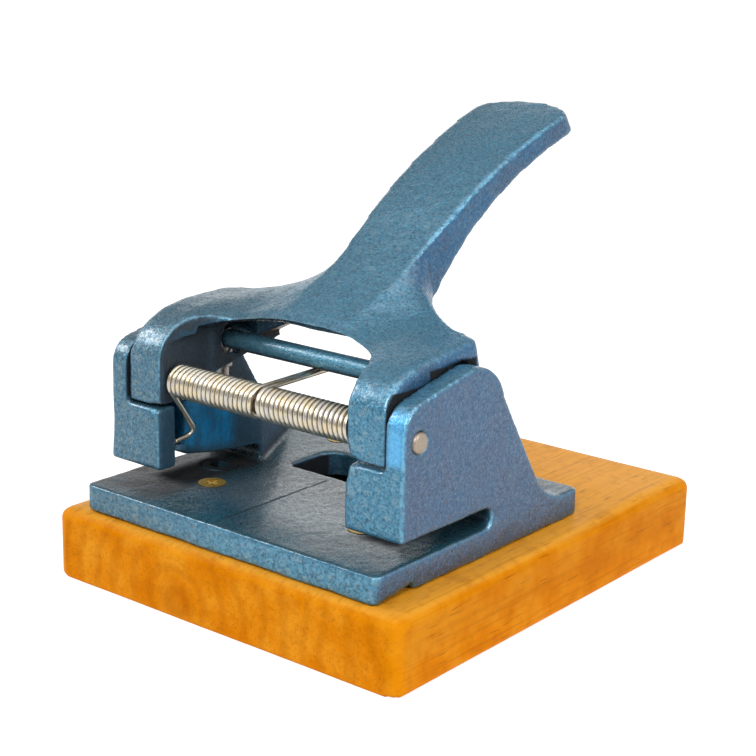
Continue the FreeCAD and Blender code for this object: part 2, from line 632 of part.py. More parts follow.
def punch(side):
    """Make one punch: a shank with a notched tip, and a domed head on the cross rod."""
    x = side * PUNCH_X
    tip = THROAT_TOP + PUNCH_TIP_LIFT
    top = PIVOT_Z + PUNCH_HEAD_RISE
    radius = PUNCH_DIAMETER / 2
    head = PUNCH_HEAD_DIAMETER / 2

    def dome(reach):
        return reach, top - PUNCH_DOME_RADIUS + math.sqrt(PUNCH_DOME_RADIUS**2 - reach**2)

    profile = Outline(lambda reach, z: Vector(x + reach, PUNCH_Y, z), 0, tip)
    profile.line(radius, tip).line(radius, top - PUNCH_HEAD_LENGTH).line(head, top - PUNCH_HEAD_LENGTH)
    profile.line(*dome(head)).arc(dome(head / 2), (0, top))
    turned = Part.Face(profile.wire()).revolve(Vector(x, PUNCH_Y, 0), Vector(0, 0, 1), 360)
    notch = Outline(lambda y, z: Vector(0, PUNCH_Y + y, tip + z), -radius - OVERCUT, -OVERCUT)
    notch.line(radius + OVERCUT, -OVERCUT).line(radius, 0).line(0, PUNCH_TIP_NOTCH).line(-radius, 0)
    reach = (x - PUNCH_HEAD_DIAMETER, x + PUNCH_HEAD_DIAMETER)
    hole = bar(ROD_END_DIAMETER / 2 + SEAT_CLEARANCE, reach, PUNCH_Y, PIVOT_Z + ROD_RISE)
    return turned.cut([notch.across(*reach), hole])


def die_bush(side):
    """Make one die bush: a cutting land at the plate's top, with relief below it for the chips."""
    x = side * PUNCH_X
    bush = post(DIE_DIAMETER / 2, x, PUNCH_Y, (BLOCK_HEIGHT, PLATE_TOP))
    through = (BLOCK_HEIGHT - OVERCUT, PLATE_TOP + OVERCUT)
    land = post(PUNCH_DIAMETER / 2 + RUNNING_CLEARANCE, x, PUNCH_Y, through)
    relief = post(DIE_RELIEF_DIAMETER / 2, x, PUNCH_Y, (BLOCK_HEIGHT - OVERCUT, PLATE_TOP - DIE_LAND))
    return bush.cut([land, relief])


class WirePath:
    """A bent wire's centre line, drawn forward from a point and a heading."""

    def __init__(self, start, heading):
        self.here = start
        self.heading = heading.normalize()
        self.edges = []

    def straight(self, length):
        """Run straight on."""
        end = self.here + self.heading * length
        self.edges.append(Part.LineSegment(self.here, end).toShape())
        self.here = end
        return self

    def bend(self, heading, radius):
        """Turn to a new heading on an arc."""
        target = Vector(*heading).normalize()
        turn = math.acos(self.heading.dot(target))
        inward = (target - self.heading * self.heading.dot(target)).normalize()
        centre = self.here + inward * radius
        points = [
            centre + self.heading * radius * math.sin(angle) - inward * radius * math.cos(angle)
            for angle in (turn / 2, turn)
        ]
        self.edges.append(Part.Arc(self.here, *points).toShape())
        self.here = points[1]
        self.heading = target
        return self


def return_spring():
    """Make the double torsion spring: coils on the pivot pin, a loop under the rod and two hooked legs."""
    radius = SPRING_MEAN_RADIUS
    rod_contact = (PUNCH_REACH, ROD_RISE - ROD_DIAMETER / 2 - SPRING_WIRE / 2 - SPRING_GAP)
    contact_turn = math.atan2(rod_contact[1], rod_contact[0])
    loop_turn = contact_turn + math.acos(radius / math.hypot(*rod_contact))
    leg_turn = math.radians(270 - SPRING_LEG_DROP)
    turns = SPRING_TURNS + (leg_turn - loop_turn) / (2 * math.pi)
    pivot = side_view(0, 0)
    climb = SPRING_PITCH / (2 * math.pi)

    def on_coil(turn, x):
        return pivot + Vector(x, radius * math.cos(turn), radius * math.sin(turn))

    def heading(turn):
        return Vector(climb, -radius * math.sin(turn), radius * math.cos(turn))

    coil = Part.makeHelix(SPRING_PITCH, SPRING_PITCH * turns, radius)
    lay = Rotation(Vector(1, 1, 1), 120).multiply(Rotation(Vector(0, 0, 1), math.degrees(loop_turn)))
    coil.Placement = Placement(pivot + Vector(SPRING_LOOP_HALF_WIDTH, 0, 0), lay)
    strand = Vector(0, math.sin(loop_turn), -math.cos(loop_turn))
    loop = WirePath(on_coil(loop_turn, SPRING_LOOP_HALF_WIDTH), -heading(loop_turn))
    loop.bend(strand, SPRING_EASE_BEND)
    loop.straight(PUNCH_REACH + SPRING_LOOP_OVERHANG - loop.here.y + PIVOT_Y)
    loop.bend((-1, 0, 0), loop.here.x)
    coil_end = SPRING_LOOP_HALF_WIDTH + SPRING_PITCH * turns
    leg = WirePath(on_coil(leg_turn, coil_end), heading(leg_turn)).straight(SPRING_LEG_LENGTH)
    leg.bend(SPRING_HOOK_HEADING, SPRING_HOOK_BEND)
    hook_gap = leg.here.y - COLUMN_REAR - SPRING_WIRE / 2 - SPRING_GAP
    leg.straight(hook_gap / -leg.heading.y)
    path = Part.Wire(Part.__sortEdges__(loop.edges + coil.Edges + leg.edges))
    section = Part.Wire([Part.makeCircle(SPRING_WIRE / 2, loop.here, loop.heading)])
    half = path.makePipeShell([section], True, False)
    return join(half, half.mirror(Vector(0, 0, 0), Vector(1, 0, 0)))


def build():
    """Make every piece of the punch, by node name."""
    pieces = {
        "wood_base": wood_base(),
        "base_casting": base_casting(),
        "lever": lever(),
        "pivot_pin": pivot_pin(),
        "return_spring": return_spring(),
        "cross_rod": cross_rod(),
    }
    for side, word in zip(SIDES, ("left", "right")):
        pieces[f"punch_{word}"] = punch(side)
        pieces[f"die_bush_{word}"] = die_bush(side)
    for name, (x, y) in screw_places().items():
        pieces[name] = wood_screw(x, y)
    return pieces


def main():
    """Write one STEP file per piece."""
    os.makedirs("parts", exist_ok=True)
    for name, shape in build().items():
        solid = shape.Solids[0]
        print(f"{name}: {len(shape.Solids)} solid, valid {solid.isValid()}, {solid.Volume / 1000:.2f} cm3")
        solid.exportStep(f"parts/{name}.step")


main()
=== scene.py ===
"""Looks of a heavy-duty two-hole paper punch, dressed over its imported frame.

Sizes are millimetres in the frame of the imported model, and become metres through MM.
"""
import logging
import math
from dataclasses import dataclass
from dataclasses import field
from enum import Enum
from typing import Any
from typing import Mapping
from typing import Sequence

import bmesh
import bpy
import numpy as np
from mathutils import Matrix
from mathutils import Vector
from mathutils import noise

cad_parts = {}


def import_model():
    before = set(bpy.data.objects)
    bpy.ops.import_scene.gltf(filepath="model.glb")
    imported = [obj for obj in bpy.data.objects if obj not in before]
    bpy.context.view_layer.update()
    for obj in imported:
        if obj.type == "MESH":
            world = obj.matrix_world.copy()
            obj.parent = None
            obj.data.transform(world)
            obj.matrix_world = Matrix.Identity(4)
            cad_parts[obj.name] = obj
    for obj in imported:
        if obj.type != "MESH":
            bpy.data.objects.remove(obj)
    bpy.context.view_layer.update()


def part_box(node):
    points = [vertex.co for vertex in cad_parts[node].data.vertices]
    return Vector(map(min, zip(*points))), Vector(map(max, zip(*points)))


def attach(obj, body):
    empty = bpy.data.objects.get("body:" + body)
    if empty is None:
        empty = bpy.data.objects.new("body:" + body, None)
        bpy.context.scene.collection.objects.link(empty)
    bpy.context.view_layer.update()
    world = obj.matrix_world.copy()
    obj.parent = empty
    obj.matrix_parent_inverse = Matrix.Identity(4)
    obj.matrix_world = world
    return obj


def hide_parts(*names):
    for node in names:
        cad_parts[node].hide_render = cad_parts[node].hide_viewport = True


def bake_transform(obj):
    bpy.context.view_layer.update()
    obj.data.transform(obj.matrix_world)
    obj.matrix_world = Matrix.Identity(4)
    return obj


MM = 0.001
EDGE_LAYER = "edge"
# the mesh value behind the painted shade round hollows
HOLLOW_SHADE_LAYER = "grime"

Colour = tuple[float, float, float]
Point = tuple[float, float, float]
Band = tuple[float, float]
Zone = tuple[Point, Point, float]
Socket = bpy.types.NodeSocket
Sockets = Mapping[str, Socket]

log = logging.getLogger("paper_punch")


class Body(Enum):
    """The rigid bodies of the frame."""

    BASE = "base"
    LEVER = "lever"
    PUNCHES = "punch_set"


class Slot(Enum):
    """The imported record's material slots of the pieces that are built here."""

    WOOD = "varnished_wood"
    ENAMEL = "blue_enamel"
    PIN = "pin_steel"
    SPRING = "spring_zinc"


class Graph:
    """Adds nodes to one shader tree and wires them."""

    def __init__(self, tree: bpy.types.NodeTree) -> None:
        """Keep the tree to work on."""
        self.tree = tree

    def add(self, kind: str, inputs: Mapping[Any, Any] | None = None, **settings: Any) -> bpy.types.Node:
        """Add a node.

        Args:
            kind: Blender's name of the node type.
            inputs: Values or sockets for the node's inputs, by name or place.
            settings: Properties of the node.

        Returns:
            The new node.
        """
        node = self.tree.nodes.new(kind)
        for key, value in settings.items():
            setattr(node, key, value)
        for key, value in (inputs or {}).items():
            self.feed(node.inputs[key], value)
        return node

    def feed(self, socket: Socket, value: Any) -> None:
        """Link a socket to an input, or set the input's own value.

        Args:
            socket: The input.
            value: A socket, a number or a colour.
        """
        if isinstance(value, bpy.types.NodeSocket):
            self.tree.links.new(value, socket)
        elif socket.type == "RGBA":
            socket.default_value = (*value, 1.0)
        else:
            socket.default_value = value

    def math(self, operation: str, first: Any, second: Any = 0.0) -> Socket:
        """Give one sum of two numbers or sockets, by Blender's name of the sum."""
        return self.add("ShaderNodeMath", {0: first, 1: second}, operation=operation).outputs[0]

    def times(self, first: Any, *others: Any) -> Socket:
        """Multiply values, one after the other.

        Args:
            first: A number or socket.
            others: The numbers or sockets that it is multiplied by.

        Returns:
            The socket of the result.
        """
        for other in others:
            first = self.math("MULTIPLY", first, other)
        return first

    def plus(self, first: Any, second: Any) -> Socket:
        """Add two values."""
        return self.math("ADD", first, second)

    def less(self, first: Any, second: Any) -> Socket:
        """Take the second value from the first."""
        return self.math("SUBTRACT", first, second)

    def most(self, first: Any, second: Any) -> Socket:
        """Give the larger of two values."""
        return self.math("MAXIMUM", first, second)

    def rising(self, base: float, value: Any, factor: float) -> Socket:
        """Give a base plus a value times a factor."""
        return self.plus(base, self.times(value, factor))

    def lifted(self, least: float, mask: Any) -> Socket:
        """Raise a mask so that it runs from its least value to 1."""
        return self.rising(least, mask, 1.0 - least)

    def step(self, value: Any, low: Any, high: Any) -> Socket:
        """Give a soft step of a value, from 0 at low to 1 at high."""
        node = self.add("ShaderNodeMapRange", {0: value, 1: low, 2: high}, interpolation_type="SMOOTHSTEP")
        return node.outputs[0]

    def tint(self, share: Any, under: Any, over: Any) -> Socket:
        """Lay one colour over another.

        Args:
            share: How much of the upper colour shows.
            under: The lower colour.
            over: The upper colour.

        Returns:
            The socket of the mixed colour.
        """
        node = self.add("ShaderNodeMix", data_type="RGBA", blend_type="MIX")
        self.feed(node.inputs[0], share)
        self.feed(node.inputs[6], under)
        self.feed(node.inputs[7], over)
        return node.outputs[2]

    def layered(self, under: Any, *layers: tuple[Any, Any]) -> Socket:
        """Lay several colours over one another.

        Args:
            under: The lowest colour.
            layers: How much of each further colour shows, and that colour.

        Returns:
            The socket of the mixed colour.
        """
        for share, over in layers:
            under = self.tint(share, under, over)
        return under

    def vector(self, operation: str, first: Any, second: Any) -> Socket:
        """Give one sum of two vectors, by Blender's name of the sum."""
        return self.add("ShaderNodeVectorMath", {0: first, 1: second}, operation=operation).outputs[0]

    def toward(self, vector: Socket, heading: Point) -> Socket:
        """Give how far a vector points along a heading."""
        node = self.add("ShaderNodeVectorMath", {0: vector, 1: heading}, operation="DOT_PRODUCT")
        return node.outputs["Value"]

    def bumped(self, strength: float, relief: float, height: Socket) -> Socket:
        """Give the surface's direction over small lumps.

        Args:
            strength: How much the lumps show.
            relief: Their height in millimetres.
            height: The pattern that they follow.

        Returns:
            The socket of the direction.
        """
        values = {"Strength": strength, "Distance": relief * MM, "Height": height}
        return self.add("ShaderNodeBump", values).outputs[0]

    def axes(self, vector: Socket) -> tuple[Socket, Socket, Socket]:
        """Split a vector into its three parts."""
        node = self.add("ShaderNodeSeparateXYZ", {0: vector})
        return node.outputs[0], node.outputs[1], node.outputs[2]

    def facing(self) -> tuple[Socket, Socket, Socket]:
        """Give the three parts of the surface's direction on the piece."""
        return self.axes(self.add("ShaderNodeTexCoord").outputs["Normal"])

    def stretched(self, factors: Point = (1.0, 1.0, 1.0)) -> Socket:
        """Give the point on the piece with each axis scaled.

        Args:
            factors: The scale along each axis, with millimetres as the unit.

        Returns:
            The socket of the scaled point.
        """
        place = self.add("ShaderNodeTexCoord").outputs["Object"]
        return self.vector("MULTIPLY", place, tuple(value / MM for value in factors))

    def spot(self) -> tuple[Socket, Socket, Socket]:
        """Give the three parts of the point on the piece, in millimetres."""
        return self.axes(self.stretched())

    def cloud(
        self, size: Any, detail: float = 2.0, rough: float = 0.5, point: Socket | None = None
    ) -> Socket:
        """Give a noise of a size in millimetres.

        Args:
            size: The size of its lumps.
            detail: How many finer layers it has.
            rough: How strong the finer layers are.
            point: The point that is read, or none for the piece's own in millimetres.

        Returns:
            The socket of the noise, about 0.5 in the middle.
        """
        point = point or self.stretched()
        scale = 1.0 / size if isinstance(size, float) else self.math("DIVIDE", 1.0, size)
        values = {"Vector": point, "Scale": scale, "Detail": detail, "Roughness": rough}
        return self.add("ShaderNodeTexNoise", values).outputs[0]

    def within(self, zone: Zone) -> Socket:
        """Find the points of the piece inside a box that is mirrored across its middle.

        Args:
            zone: The box's two corners on the right side, and half the width of its soft border.

        Returns:
            The mask.
        """
        across, along, up = self.spot()
        start, end, soft = zone
        sides = []
        for value, low, high in zip((self.math("ABSOLUTE", across), along, up), start, end):
            sides.append(self.step(value, low - soft, low + soft))
            sides.append(self.step(value, high + soft, high - soft))
        return self.times(*sides)

    def layer(self, name: str) -> Socket:
        """Read a value that is kept on the mesh."""
        return self.add("ShaderNodeAttribute", attribute_name=name).outputs["Fac"]


class Effect:
    """A node group that is built once and placed in each material that uses it."""

    name: str = ""
    inputs: Mapping[str, float] = {}
    outputs: Sequence[str] = ()

    def wire(self, graph: Graph, given: Sockets) -> dict[str, Socket]:
        """Make the group's nodes in its tree, from its input sockets, and give its output sockets."""
        raise NotImplementedError

    def tree(self) -> bpy.types.NodeTree:
        """Find the group, or build it the first time.

        Returns:
            The group's tree.
        """
        found = bpy.data.node_groups.get(self.name)
        if found is not None:
            return found
        tree = bpy.data.node_groups.new(self.name, "ShaderNodeTree")
        for key, value in self.inputs.items():
            socket = tree.interface.new_socket(key, in_out="INPUT", socket_type="NodeSocketFloat")
            socket.default_value = value
        for key in self.outputs:
            tree.interface.new_socket(key, in_out="OUTPUT", socket_type="NodeSocketFloat")
        graph = Graph(tree)
        entry = graph.add("NodeGroupInput")
        given = {key: entry.outputs[key] for key in self.inputs}
        leaving = graph.add("NodeGroupOutput")
        for key, socket in self.wire(graph, given).items():
            tree.links.new(socket, leaving.inputs[key])
        return tree

    def put(self, graph: Graph, values: Mapping[str, Any] | None = None) -> Sockets:
        """Place the group in a material.

        Args:
            graph: The material's tree.
            values: The group's inputs, by name, or none for its own.

        Returns:
            The group's outputs, by name.
        """
        node = graph.add("ShaderNodeGroup", node_tree=self.tree())
        for key, value in (values or {}).items():
            graph.feed(node.inputs[key], value)
        return {key: node.outputs[key] for key in self.outputs}


class Speckle(Effect):
    """Fine lumps of a thick paint, with pinholes between them."""

    name = "paint_speckle"
    inputs = {"Size": 0.8}
    outputs = ("Height", "Dark", "Bright")
    dark_band: Band = (0.52, 0.34)
    bright_band: Band = (0.54, 0.7)

    def wire(self, graph: Graph, given: Sockets) -> dict[str, Socket]:
        """Make the lumps, the pinholes and the pale crowns.

        Args:
            graph: The group's tree.
            given: The size of the lumps.

        Returns:
            The sockets of the group's outputs.
        """
        lumps = graph.cloud(given["Size"], 3.0, 0.62)
        dark = graph.step(lumps, *self.dark_band)
        bright = graph.step(lumps, *self.bright_band)
        return {"Height": lumps, "Dark": dark, "Bright": bright}


class HammerCells(Effect):
    """The pulled cells of a hammered finish."""

    name = "hammer_cells"
    inputs = {"Size": 2.4}
    outputs = ("Height", "Rim", "Tone")
    pull_scale: float = 0.55
    pull_reach: float = 2.6
    rim_band: Band = (0.26, 0.02)

    def wire(self, graph: Graph, given: Sockets) -> dict[str, Socket]:
        """Make the cells, their rims and a tone for each cell.

        Args:
            graph: The group's tree.
            given: The size of the cells.

        Returns:
            The sockets of the group's outputs.
        """
        point = graph.stretched()
        values = {"Vector": point, "Scale": self.pull_scale, "Detail": 2.0}
        pull = graph.add("ShaderNodeTexNoise", values).outputs[1]
        centred = graph.vector("SUBTRACT", pull, (0.5, 0.5, 0.5))
        values = {0: centred, "Scale": self.pull_reach}
        away = graph.add("ShaderNodeVectorMath", values, operation="SCALE").outputs[0]
        moved = graph.vector("ADD", point, away)
        values = {"Vector": moved, "Scale": graph.math("DIVIDE", 1.0, given["Size"])}
        near = graph.add("ShaderNodeTexVoronoi", values, feature="F1").outputs
        edge = graph.add("ShaderNodeTexVoronoi", values, feature="DISTANCE_TO_EDGE").outputs
        rim = graph.step(edge["Distance"], *self.rim_band)
        dome = graph.less(1.0, near["Distance"])
        return {"Height": dome, "Rim": rim, "Tone": graph.axes(near["Color"])[0]}


class EdgeMarks(Effect):
    """Ridges and hollows of a piece, broken up, from the values kept on its mesh."""

    name = "edge_marks"
    inputs = {"Break Size": 3.0}
    outputs = ("Ridge", "Hollow", "Grime")
    ridge_least: float = 0.35
    hollow_least: float = 0.55
    ridge_band: Band = (0.45, 1.1)
    hollow_band: Band = (-0.2, -0.9)
    hollow_shade_band: Band = (0.04, 0.5)

    def wire(self, graph: Graph, given: Sockets) -> dict[str, Socket]:
        """Read the mesh's own values and break them up.

        Args:
            graph: The group's tree.
            given: The size of the breaks.

        Returns:
            The sockets of the group's outputs.
        """
        patches = graph.cloud(given["Break Size"], 3.0, 0.6)
        broken = graph.plus(self.hollow_least, patches)
        edge = graph.layer(EDGE_LAYER)
        ridge = graph.step(graph.times(edge, graph.plus(patches, self.ridge_least)), *self.ridge_band)
        hollow = graph.step(graph.times(edge, broken), *self.hollow_band)
        grime = graph.step(graph.times(graph.layer(HOLLOW_SHADE_LAYER), broken), *self.hollow_shade_band)
        return {"Ridge": ridge, "Hollow": hollow, "Grime": grime}


class InwardFaces(Effect):
    """The faces that look towards the middle of the punch."""

    name = "inward_faces"
    inputs = {"Start": 12.0, "End": 30.0}
    outputs = ("Mask",)

    def wire(self, graph: Graph, given: Sockets) -> dict[str, Socket]:
        """Set each point's place against the way its surface looks."""
        toward = graph.times(graph.spot()[0], graph.facing()[0], -1.0)
        return {"Mask": graph.step(toward, given["Start"], given["End"])}


class EdgeGlints(Effect):
    """Painted glints on the edges that face the camera and the key lamp, on the front right of every arm and
    cheek.
    """

    name = "handled_edges"
    inputs = {"Elsewhere": 0.06}
    outputs = ("Mask",)
    glint: Point = (0.66, -0.62, 0.42)
    glint_band: Band = (0.7, 0.95)

    def wire(self, graph: Graph, given: Sockets) -> dict[str, Socket]:
        """Compare the surface's direction with the one that gets the painted glint.

        Args:
            graph: The group's tree.
            given: What is left of the mask on other edges.

        Returns:
            The socket of the mask.
        """
        turned = graph.toward(graph.add("ShaderNodeTexCoord").outputs["Normal"], self.glint)
        share = graph.times(graph.step(turned, *self.glint_band), graph.less(1.0, given["Elsewhere"]))
        return {"Mask": graph.plus(given["Elsewhere"], share)}


class Tarnish(Effect):
    """Cloudy patches and fine grain on bare metal."""

    name = "metal_tarnish"
    inputs = {"Patch Size": 6.0, "Grain Size": 0.25}
    outputs = ("Patch", "Other Patch", "Grain")
    patch_band: Band = (0.42, 0.64)
    other_band: Band = (0.45, 0.66)
    other_size: float = 0.43

    def wire(self, graph: Graph, given: Sockets) -> dict[str, Socket]:
        """Make two sets of patches and the grain.

        Args:
            graph: The group's tree.
            given: The sizes of the patches and of the grain.

        Returns:
            The sockets of the group's outputs.
        """
        patch = graph.step(graph.cloud(given["Patch Size"], 3.0, 0.6), *self.patch_band)
        smaller = graph.times(given["Patch Size"], self.other_size)
        other = graph.step(graph.cloud(smaller, 3.0, 0.6), *self.other_band)
        grain = graph.cloud(given["Grain Size"], 2.0, 0.6)
        return {"Patch": patch, "Other Patch": other, "Grain": grain}


def new_material(name: str) -> tuple[bpy.types.Material, Graph, bpy.types.Node]:
    """Start a material.

    Args:
        name: The material's name.

    Returns:
        The material, its graph and its Principled shader, wired to the output.
    """
    material = bpy.data.materials.new(name)
    material.use_nodes = True
    material.node_tree.nodes.clear()
    graph = Graph(material.node_tree)
    shader = graph.add("ShaderNodeBsdfPrincipled")
    leaving = graph.add("ShaderNodeOutputMaterial")
    graph.feed(leaving.inputs["Surface"], shader.outputs[0])
    return material, graph, shader


def finish_with(graph: Graph, shader: bpy.types.Node, values: Mapping[str, Any]) -> None:
    """Feed a shader's inputs, by name."""
    for key, value in values.items():
        graph.feed(shader.inputs[key], value)


@dataclass(frozen=True)
class Enamel:
    """Thick hammered paint with metal flake over rough cast iron.

    A band holds the two ends of a soft step, and a share is how much of a colour shows.
    """

    name: str
    paint: Colour = (0.08, 0.3, 0.465)
    deep: Colour = (0.012, 0.06, 0.105)
    pale: Colour = (0.24, 0.33, 0.36)
    # the cells' dark rims, also laid as painted shade on edges that face away from the glint
    rim: Colour = (0.03, 0.16, 0.28)
    # painted shade: a darker copy of the paint for faces that look to the sides
    side: Colour = (0.05, 0.104, 0.222)
    # painted sheen: the paint turns greyer towards the left, standing in for the pale backdrop's grazing
    # reflection
    left_sheen: Colour = (0.07, 0.15, 0.195)
    # bright cyan of the painted glints on edges
    ridge: Colour = (0.2, 0.56, 0.78)
    # near black: painted shade in and round hollows, and also the real dark of pinholes and of the plate's
    # fine line
    hollow: Colour = (0.008, 0.022, 0.035)
    dust: Colour = (0.05, 0.038, 0.03)
    # painted shade on the faces that look towards the middle of the punch
    inside: Colour = (0.018, 0.026, 0.032)
    # painted shade, warm brown, on faces that look down
    under: Colour = (0.085, 0.062, 0.05)
    # darker copy of the enamel for the plate's top, its teal partly painted reflection of the blue columns
    wet: Colour = (0.006, 0.08, 0.12)
    # near black, painted as shade in narrow gaps and openings
    gap: Colour = (0.003, 0.006, 0.009)
    # violet patches within the painted side shade
    purple: Colour = (0.064, 0.082, 0.178)
    spark: Colour = (0.2, 0.46, 0.58)
    # bright cyan painted highlight on the front strip of the cheeks' noses
    painted_highlight: Colour = (0.12, 0.52, 0.95)
    # pale grey painted sheen in the middle of the plate's top, standing in for the backdrop's reflection
    plate_sheen: Colour = (0.2, 0.25, 0.29)
    # painted highlight: bright blue streaks on the punch guides' faces
    lit_guide: Colour = (0.004, 0.3, 0.66)
    # boxes painted near black as shade
    gaps: Sequence[Zone] = ()
    # boxes of that painted highlight
    highlight_zones: Sequence[Zone] = ()
    # boxes of the painted highlight on the punch guides
    guides: Sequence[Zone] = ()
    feet: Zone = ((31.0, -70.0, 24.0), (64.0, -20.0, 37.0), 5.0)
    plate_sheen_zone: Zone = ((-9.0, -56.0, 24.0), (27.0, -26.0, 37.0), 8.0)
    left_band: Band = (10.0, -45.0)
    right_band: Band = (0.0, 10.0)
    flank_band: Band = (0.35, 0.85)
    front_band: Band = (-0.3, -0.85)
    highlight_facing_band: Band = (-0.4, -0.8)
    under_band: Band = (-0.3, -0.8)
    upper_band: Band = (0.3, 0.8)
    level_band: Band = (0.6, 0.9)
    gap_band: Band = (0.75, 0.5)
    plate_band: Band = (0.9, 0.5)
    line_band: Band = (0.75, 0.3)
    foot_band: Band = (8.0, -8.0)
    wet_across_band: Band = (-42.0, -6.0)
    wet_along_band: Band = (-64.0, -46.0)
    film_patch: float = 9.0
    film_patch_band: Band = (0.4, 0.6)
    purple_patch: float = 12.0
    purple_band: Band = (0.4, 0.62)
    guide_streak_size: float = 2.4
    guide_streak_stretch: Point = (1.0, 1.0, 0.3)
    guide_streak_band: Band = (0.36, 0.6)
    glint_break_size: float = 1.6
    glint_break_band: Band = (0.35, 0.65)
    shine_size: float = 1.1
    shine_band: Band = (0.38, 0.62)
    lump_size: float = 3.4
    left_sheen_share: float = 0.8
    side_shade_share: float = 0.88
    purple_share: float = 0.7
    cell_share: float = 0.5
    speck_share: float = 0.72
    spark_share: float = 0.6
    underside_shade_share: float = 0.85
    hollow_shade_share: float = 0.6
    hollow_share: float = 0.8
    painted_highlight_share: float = 0.8
    shadow_share: float = 0.4
    edge_glint_share: float = 0.7
    film_share: float = 0.92
    flank_speck_share: float = 0.25
    film_speck_share: float = 0.6
    film_dust_share: float = 0.25
    line_share: float = 0.9
    foot_least: float = 0.7
    right_foot: float = 0.2
    foot_dryness: float = 0.9
    plate_sheen_least: float = 0.25
    plate_sheen_rise: float = 0.7
    guide_streak_least: float = 0.45
    glint_break_least: float = 0.25
    upper_least: float = 0.3
    left_wetness: float = 0.55
    front_wetness: float = 0.35
    dull_wetness: float = 0.45
    wet_wander: float = 16.0
    shine_least: float = 0.4
    shine_rise: float = 1.2
    speck_height: float = 0.8
    cell_height: float = 0.7
    lump_height: float = 1.4
    lumps_off_plate: float = 1.1
    flake_off_plate: float = 0.8
    pinhole_dullness: float = 0.15
    inside_dullness: float = 0.4
    gap_dullness: float = 0.6
    dry_dullness: float = 0.16
    film_gloss: float = 0.06
    inward_shade_share: float = 0.93
    speckle: float = 0.75
    cells: float = 3.2
    breaks: float = 5.0
    pull: float = 0.7
    least_pull: float = 0.22
    relief: float = 0.34
    bump: float = 0.85
    flake: float = 0.5
    inside_flake: float = 0.0
    polish: float = 0.27
    sheen: float = 0.52
    coat_roughness: float = 0.22
    coat_ior: float = 2.3
    ior: float = 1.45
    plate: bool = False
    plate_height: float = 30.5
    line_place: float = -5.0
    line_ends: Band = (-69.5, -21.5)
    line_fade: float = 2.0
    line_wander: float = 0.6

    def on_plate(self, graph: Graph, up: Socket) -> Socket:
        """Find the top of the base plate.

        Args:
            graph: The material's tree.
            up: How far the surface faces upwards.

        Returns:
            The mask of the plate's top.
        """
        away = graph.math("ABSOLUTE", graph.less(graph.spot()[2], self.plate_height))
        level = graph.step(away, *self.plate_band)
        return graph.times(level, graph.step(up, *self.level_band))

    def guide_line(self, graph: Graph, top: Socket) -> Socket:
        """Find the fine line on the plate.

        Args:
            graph: The material's tree.
            top: The mask of the plate's top.

        Returns:
            The mask of the line.
        """
        across, along, _ = graph.spot()
        wander = graph.times(graph.cloud(4.0), self.line_wander)
        offset = graph.less(graph.plus(across, wander), self.line_place + self.line_wander / 2)
        line = graph.step(graph.math("ABSOLUTE", offset), *self.line_band)
        front, rear = self.line_ends
        started = graph.step(along, front, front + self.line_fade)
        ended = graph.step(along, rear, rear - self.line_fade)
        return graph.times(line, graph.times(started, ended), top)

    def any_of(self, graph: Graph, zones: Sequence[Zone]) -> Socket | float:
        """Join the masks of several boxes.

        Args:
            graph: The material's tree.
            zones: The boxes.

        Returns:
            The joined mask.
        """
        mask: Socket | float = 0.0
        for zone in zones:
            mask = graph.most(mask, graph.within(zone))
        return mask

    def unlit(self, graph: Graph) -> Socket:
        """Find the narrow gaps that stay dark."""
        turned = graph.step(graph.math("ABSOLUTE", graph.facing()[1]), *self.gap_band)
        return graph.times(self.any_of(graph, self.gaps), turned)

    def film(self, graph: Graph, speck: Sockets, top: Socket) -> tuple[Socket, Socket]:
        """Mix the colour of the plate's top: a darker copy of the enamel that is partly painted reflection,
        a painted sheen in its middle, and a dark brown patch round the columns' feet.

        Args:
            graph: The material's tree.
            speck: The paint's lumps.
            top: The mask of the plate's top.

        Returns:
            The film's colour, and how dry it is.
        """
        patches = graph.step(graph.cloud(self.film_patch, 4.0, 0.6), *self.film_patch_band)
        left = graph.step(graph.spot()[0], *self.foot_band)
        foot = graph.times(graph.within(self.feet), graph.lifted(self.foot_least, patches))
        foot = graph.times(foot, graph.lifted(self.right_foot, left))
        # painted sheen: the middle of the plate's top is lightened in mottled grey
        sheen_mottle = graph.rising(self.plate_sheen_least, speck["Height"], self.plate_sheen_rise)
        plate_sheen = graph.times(graph.within(self.plate_sheen_zone), sheen_mottle)
        line = self.guide_line(graph, top)
        colour = graph.layered(
            # a darker copy of the enamel, partly painted reflection
            self.wet,
            (graph.times(speck["Dark"], self.film_speck_share), self.hollow),
            (graph.times(patches, self.film_dust_share), self.dust),
            (plate_sheen, self.plate_sheen),
            (foot, self.dust),
            (graph.times(line, self.line_share), self.hollow),
        )
        return colour, graph.most(line, graph.times(foot, self.foot_dryness))

    def wetness(self, graph: Graph, shine: Socket) -> Socket:
        """Find how wet the plate's top looks, least on the left and at the front.

        Args:
            graph: The material's tree.
            shine: The fine pattern of the paint's gloss.

        Returns:
            The wetness.
        """
        across, along, _ = graph.spot()
        along = graph.plus(along, graph.times(graph.cloud(self.film_patch, 3.0, 0.6), self.wet_wander))
        left_off = graph.lifted(self.left_wetness, graph.step(across, *self.wet_across_band))
        front_off = graph.lifted(self.front_wetness, graph.step(along, *self.wet_along_band))
        return graph.times(graph.lifted(self.dull_wetness, shine), left_off, front_off)

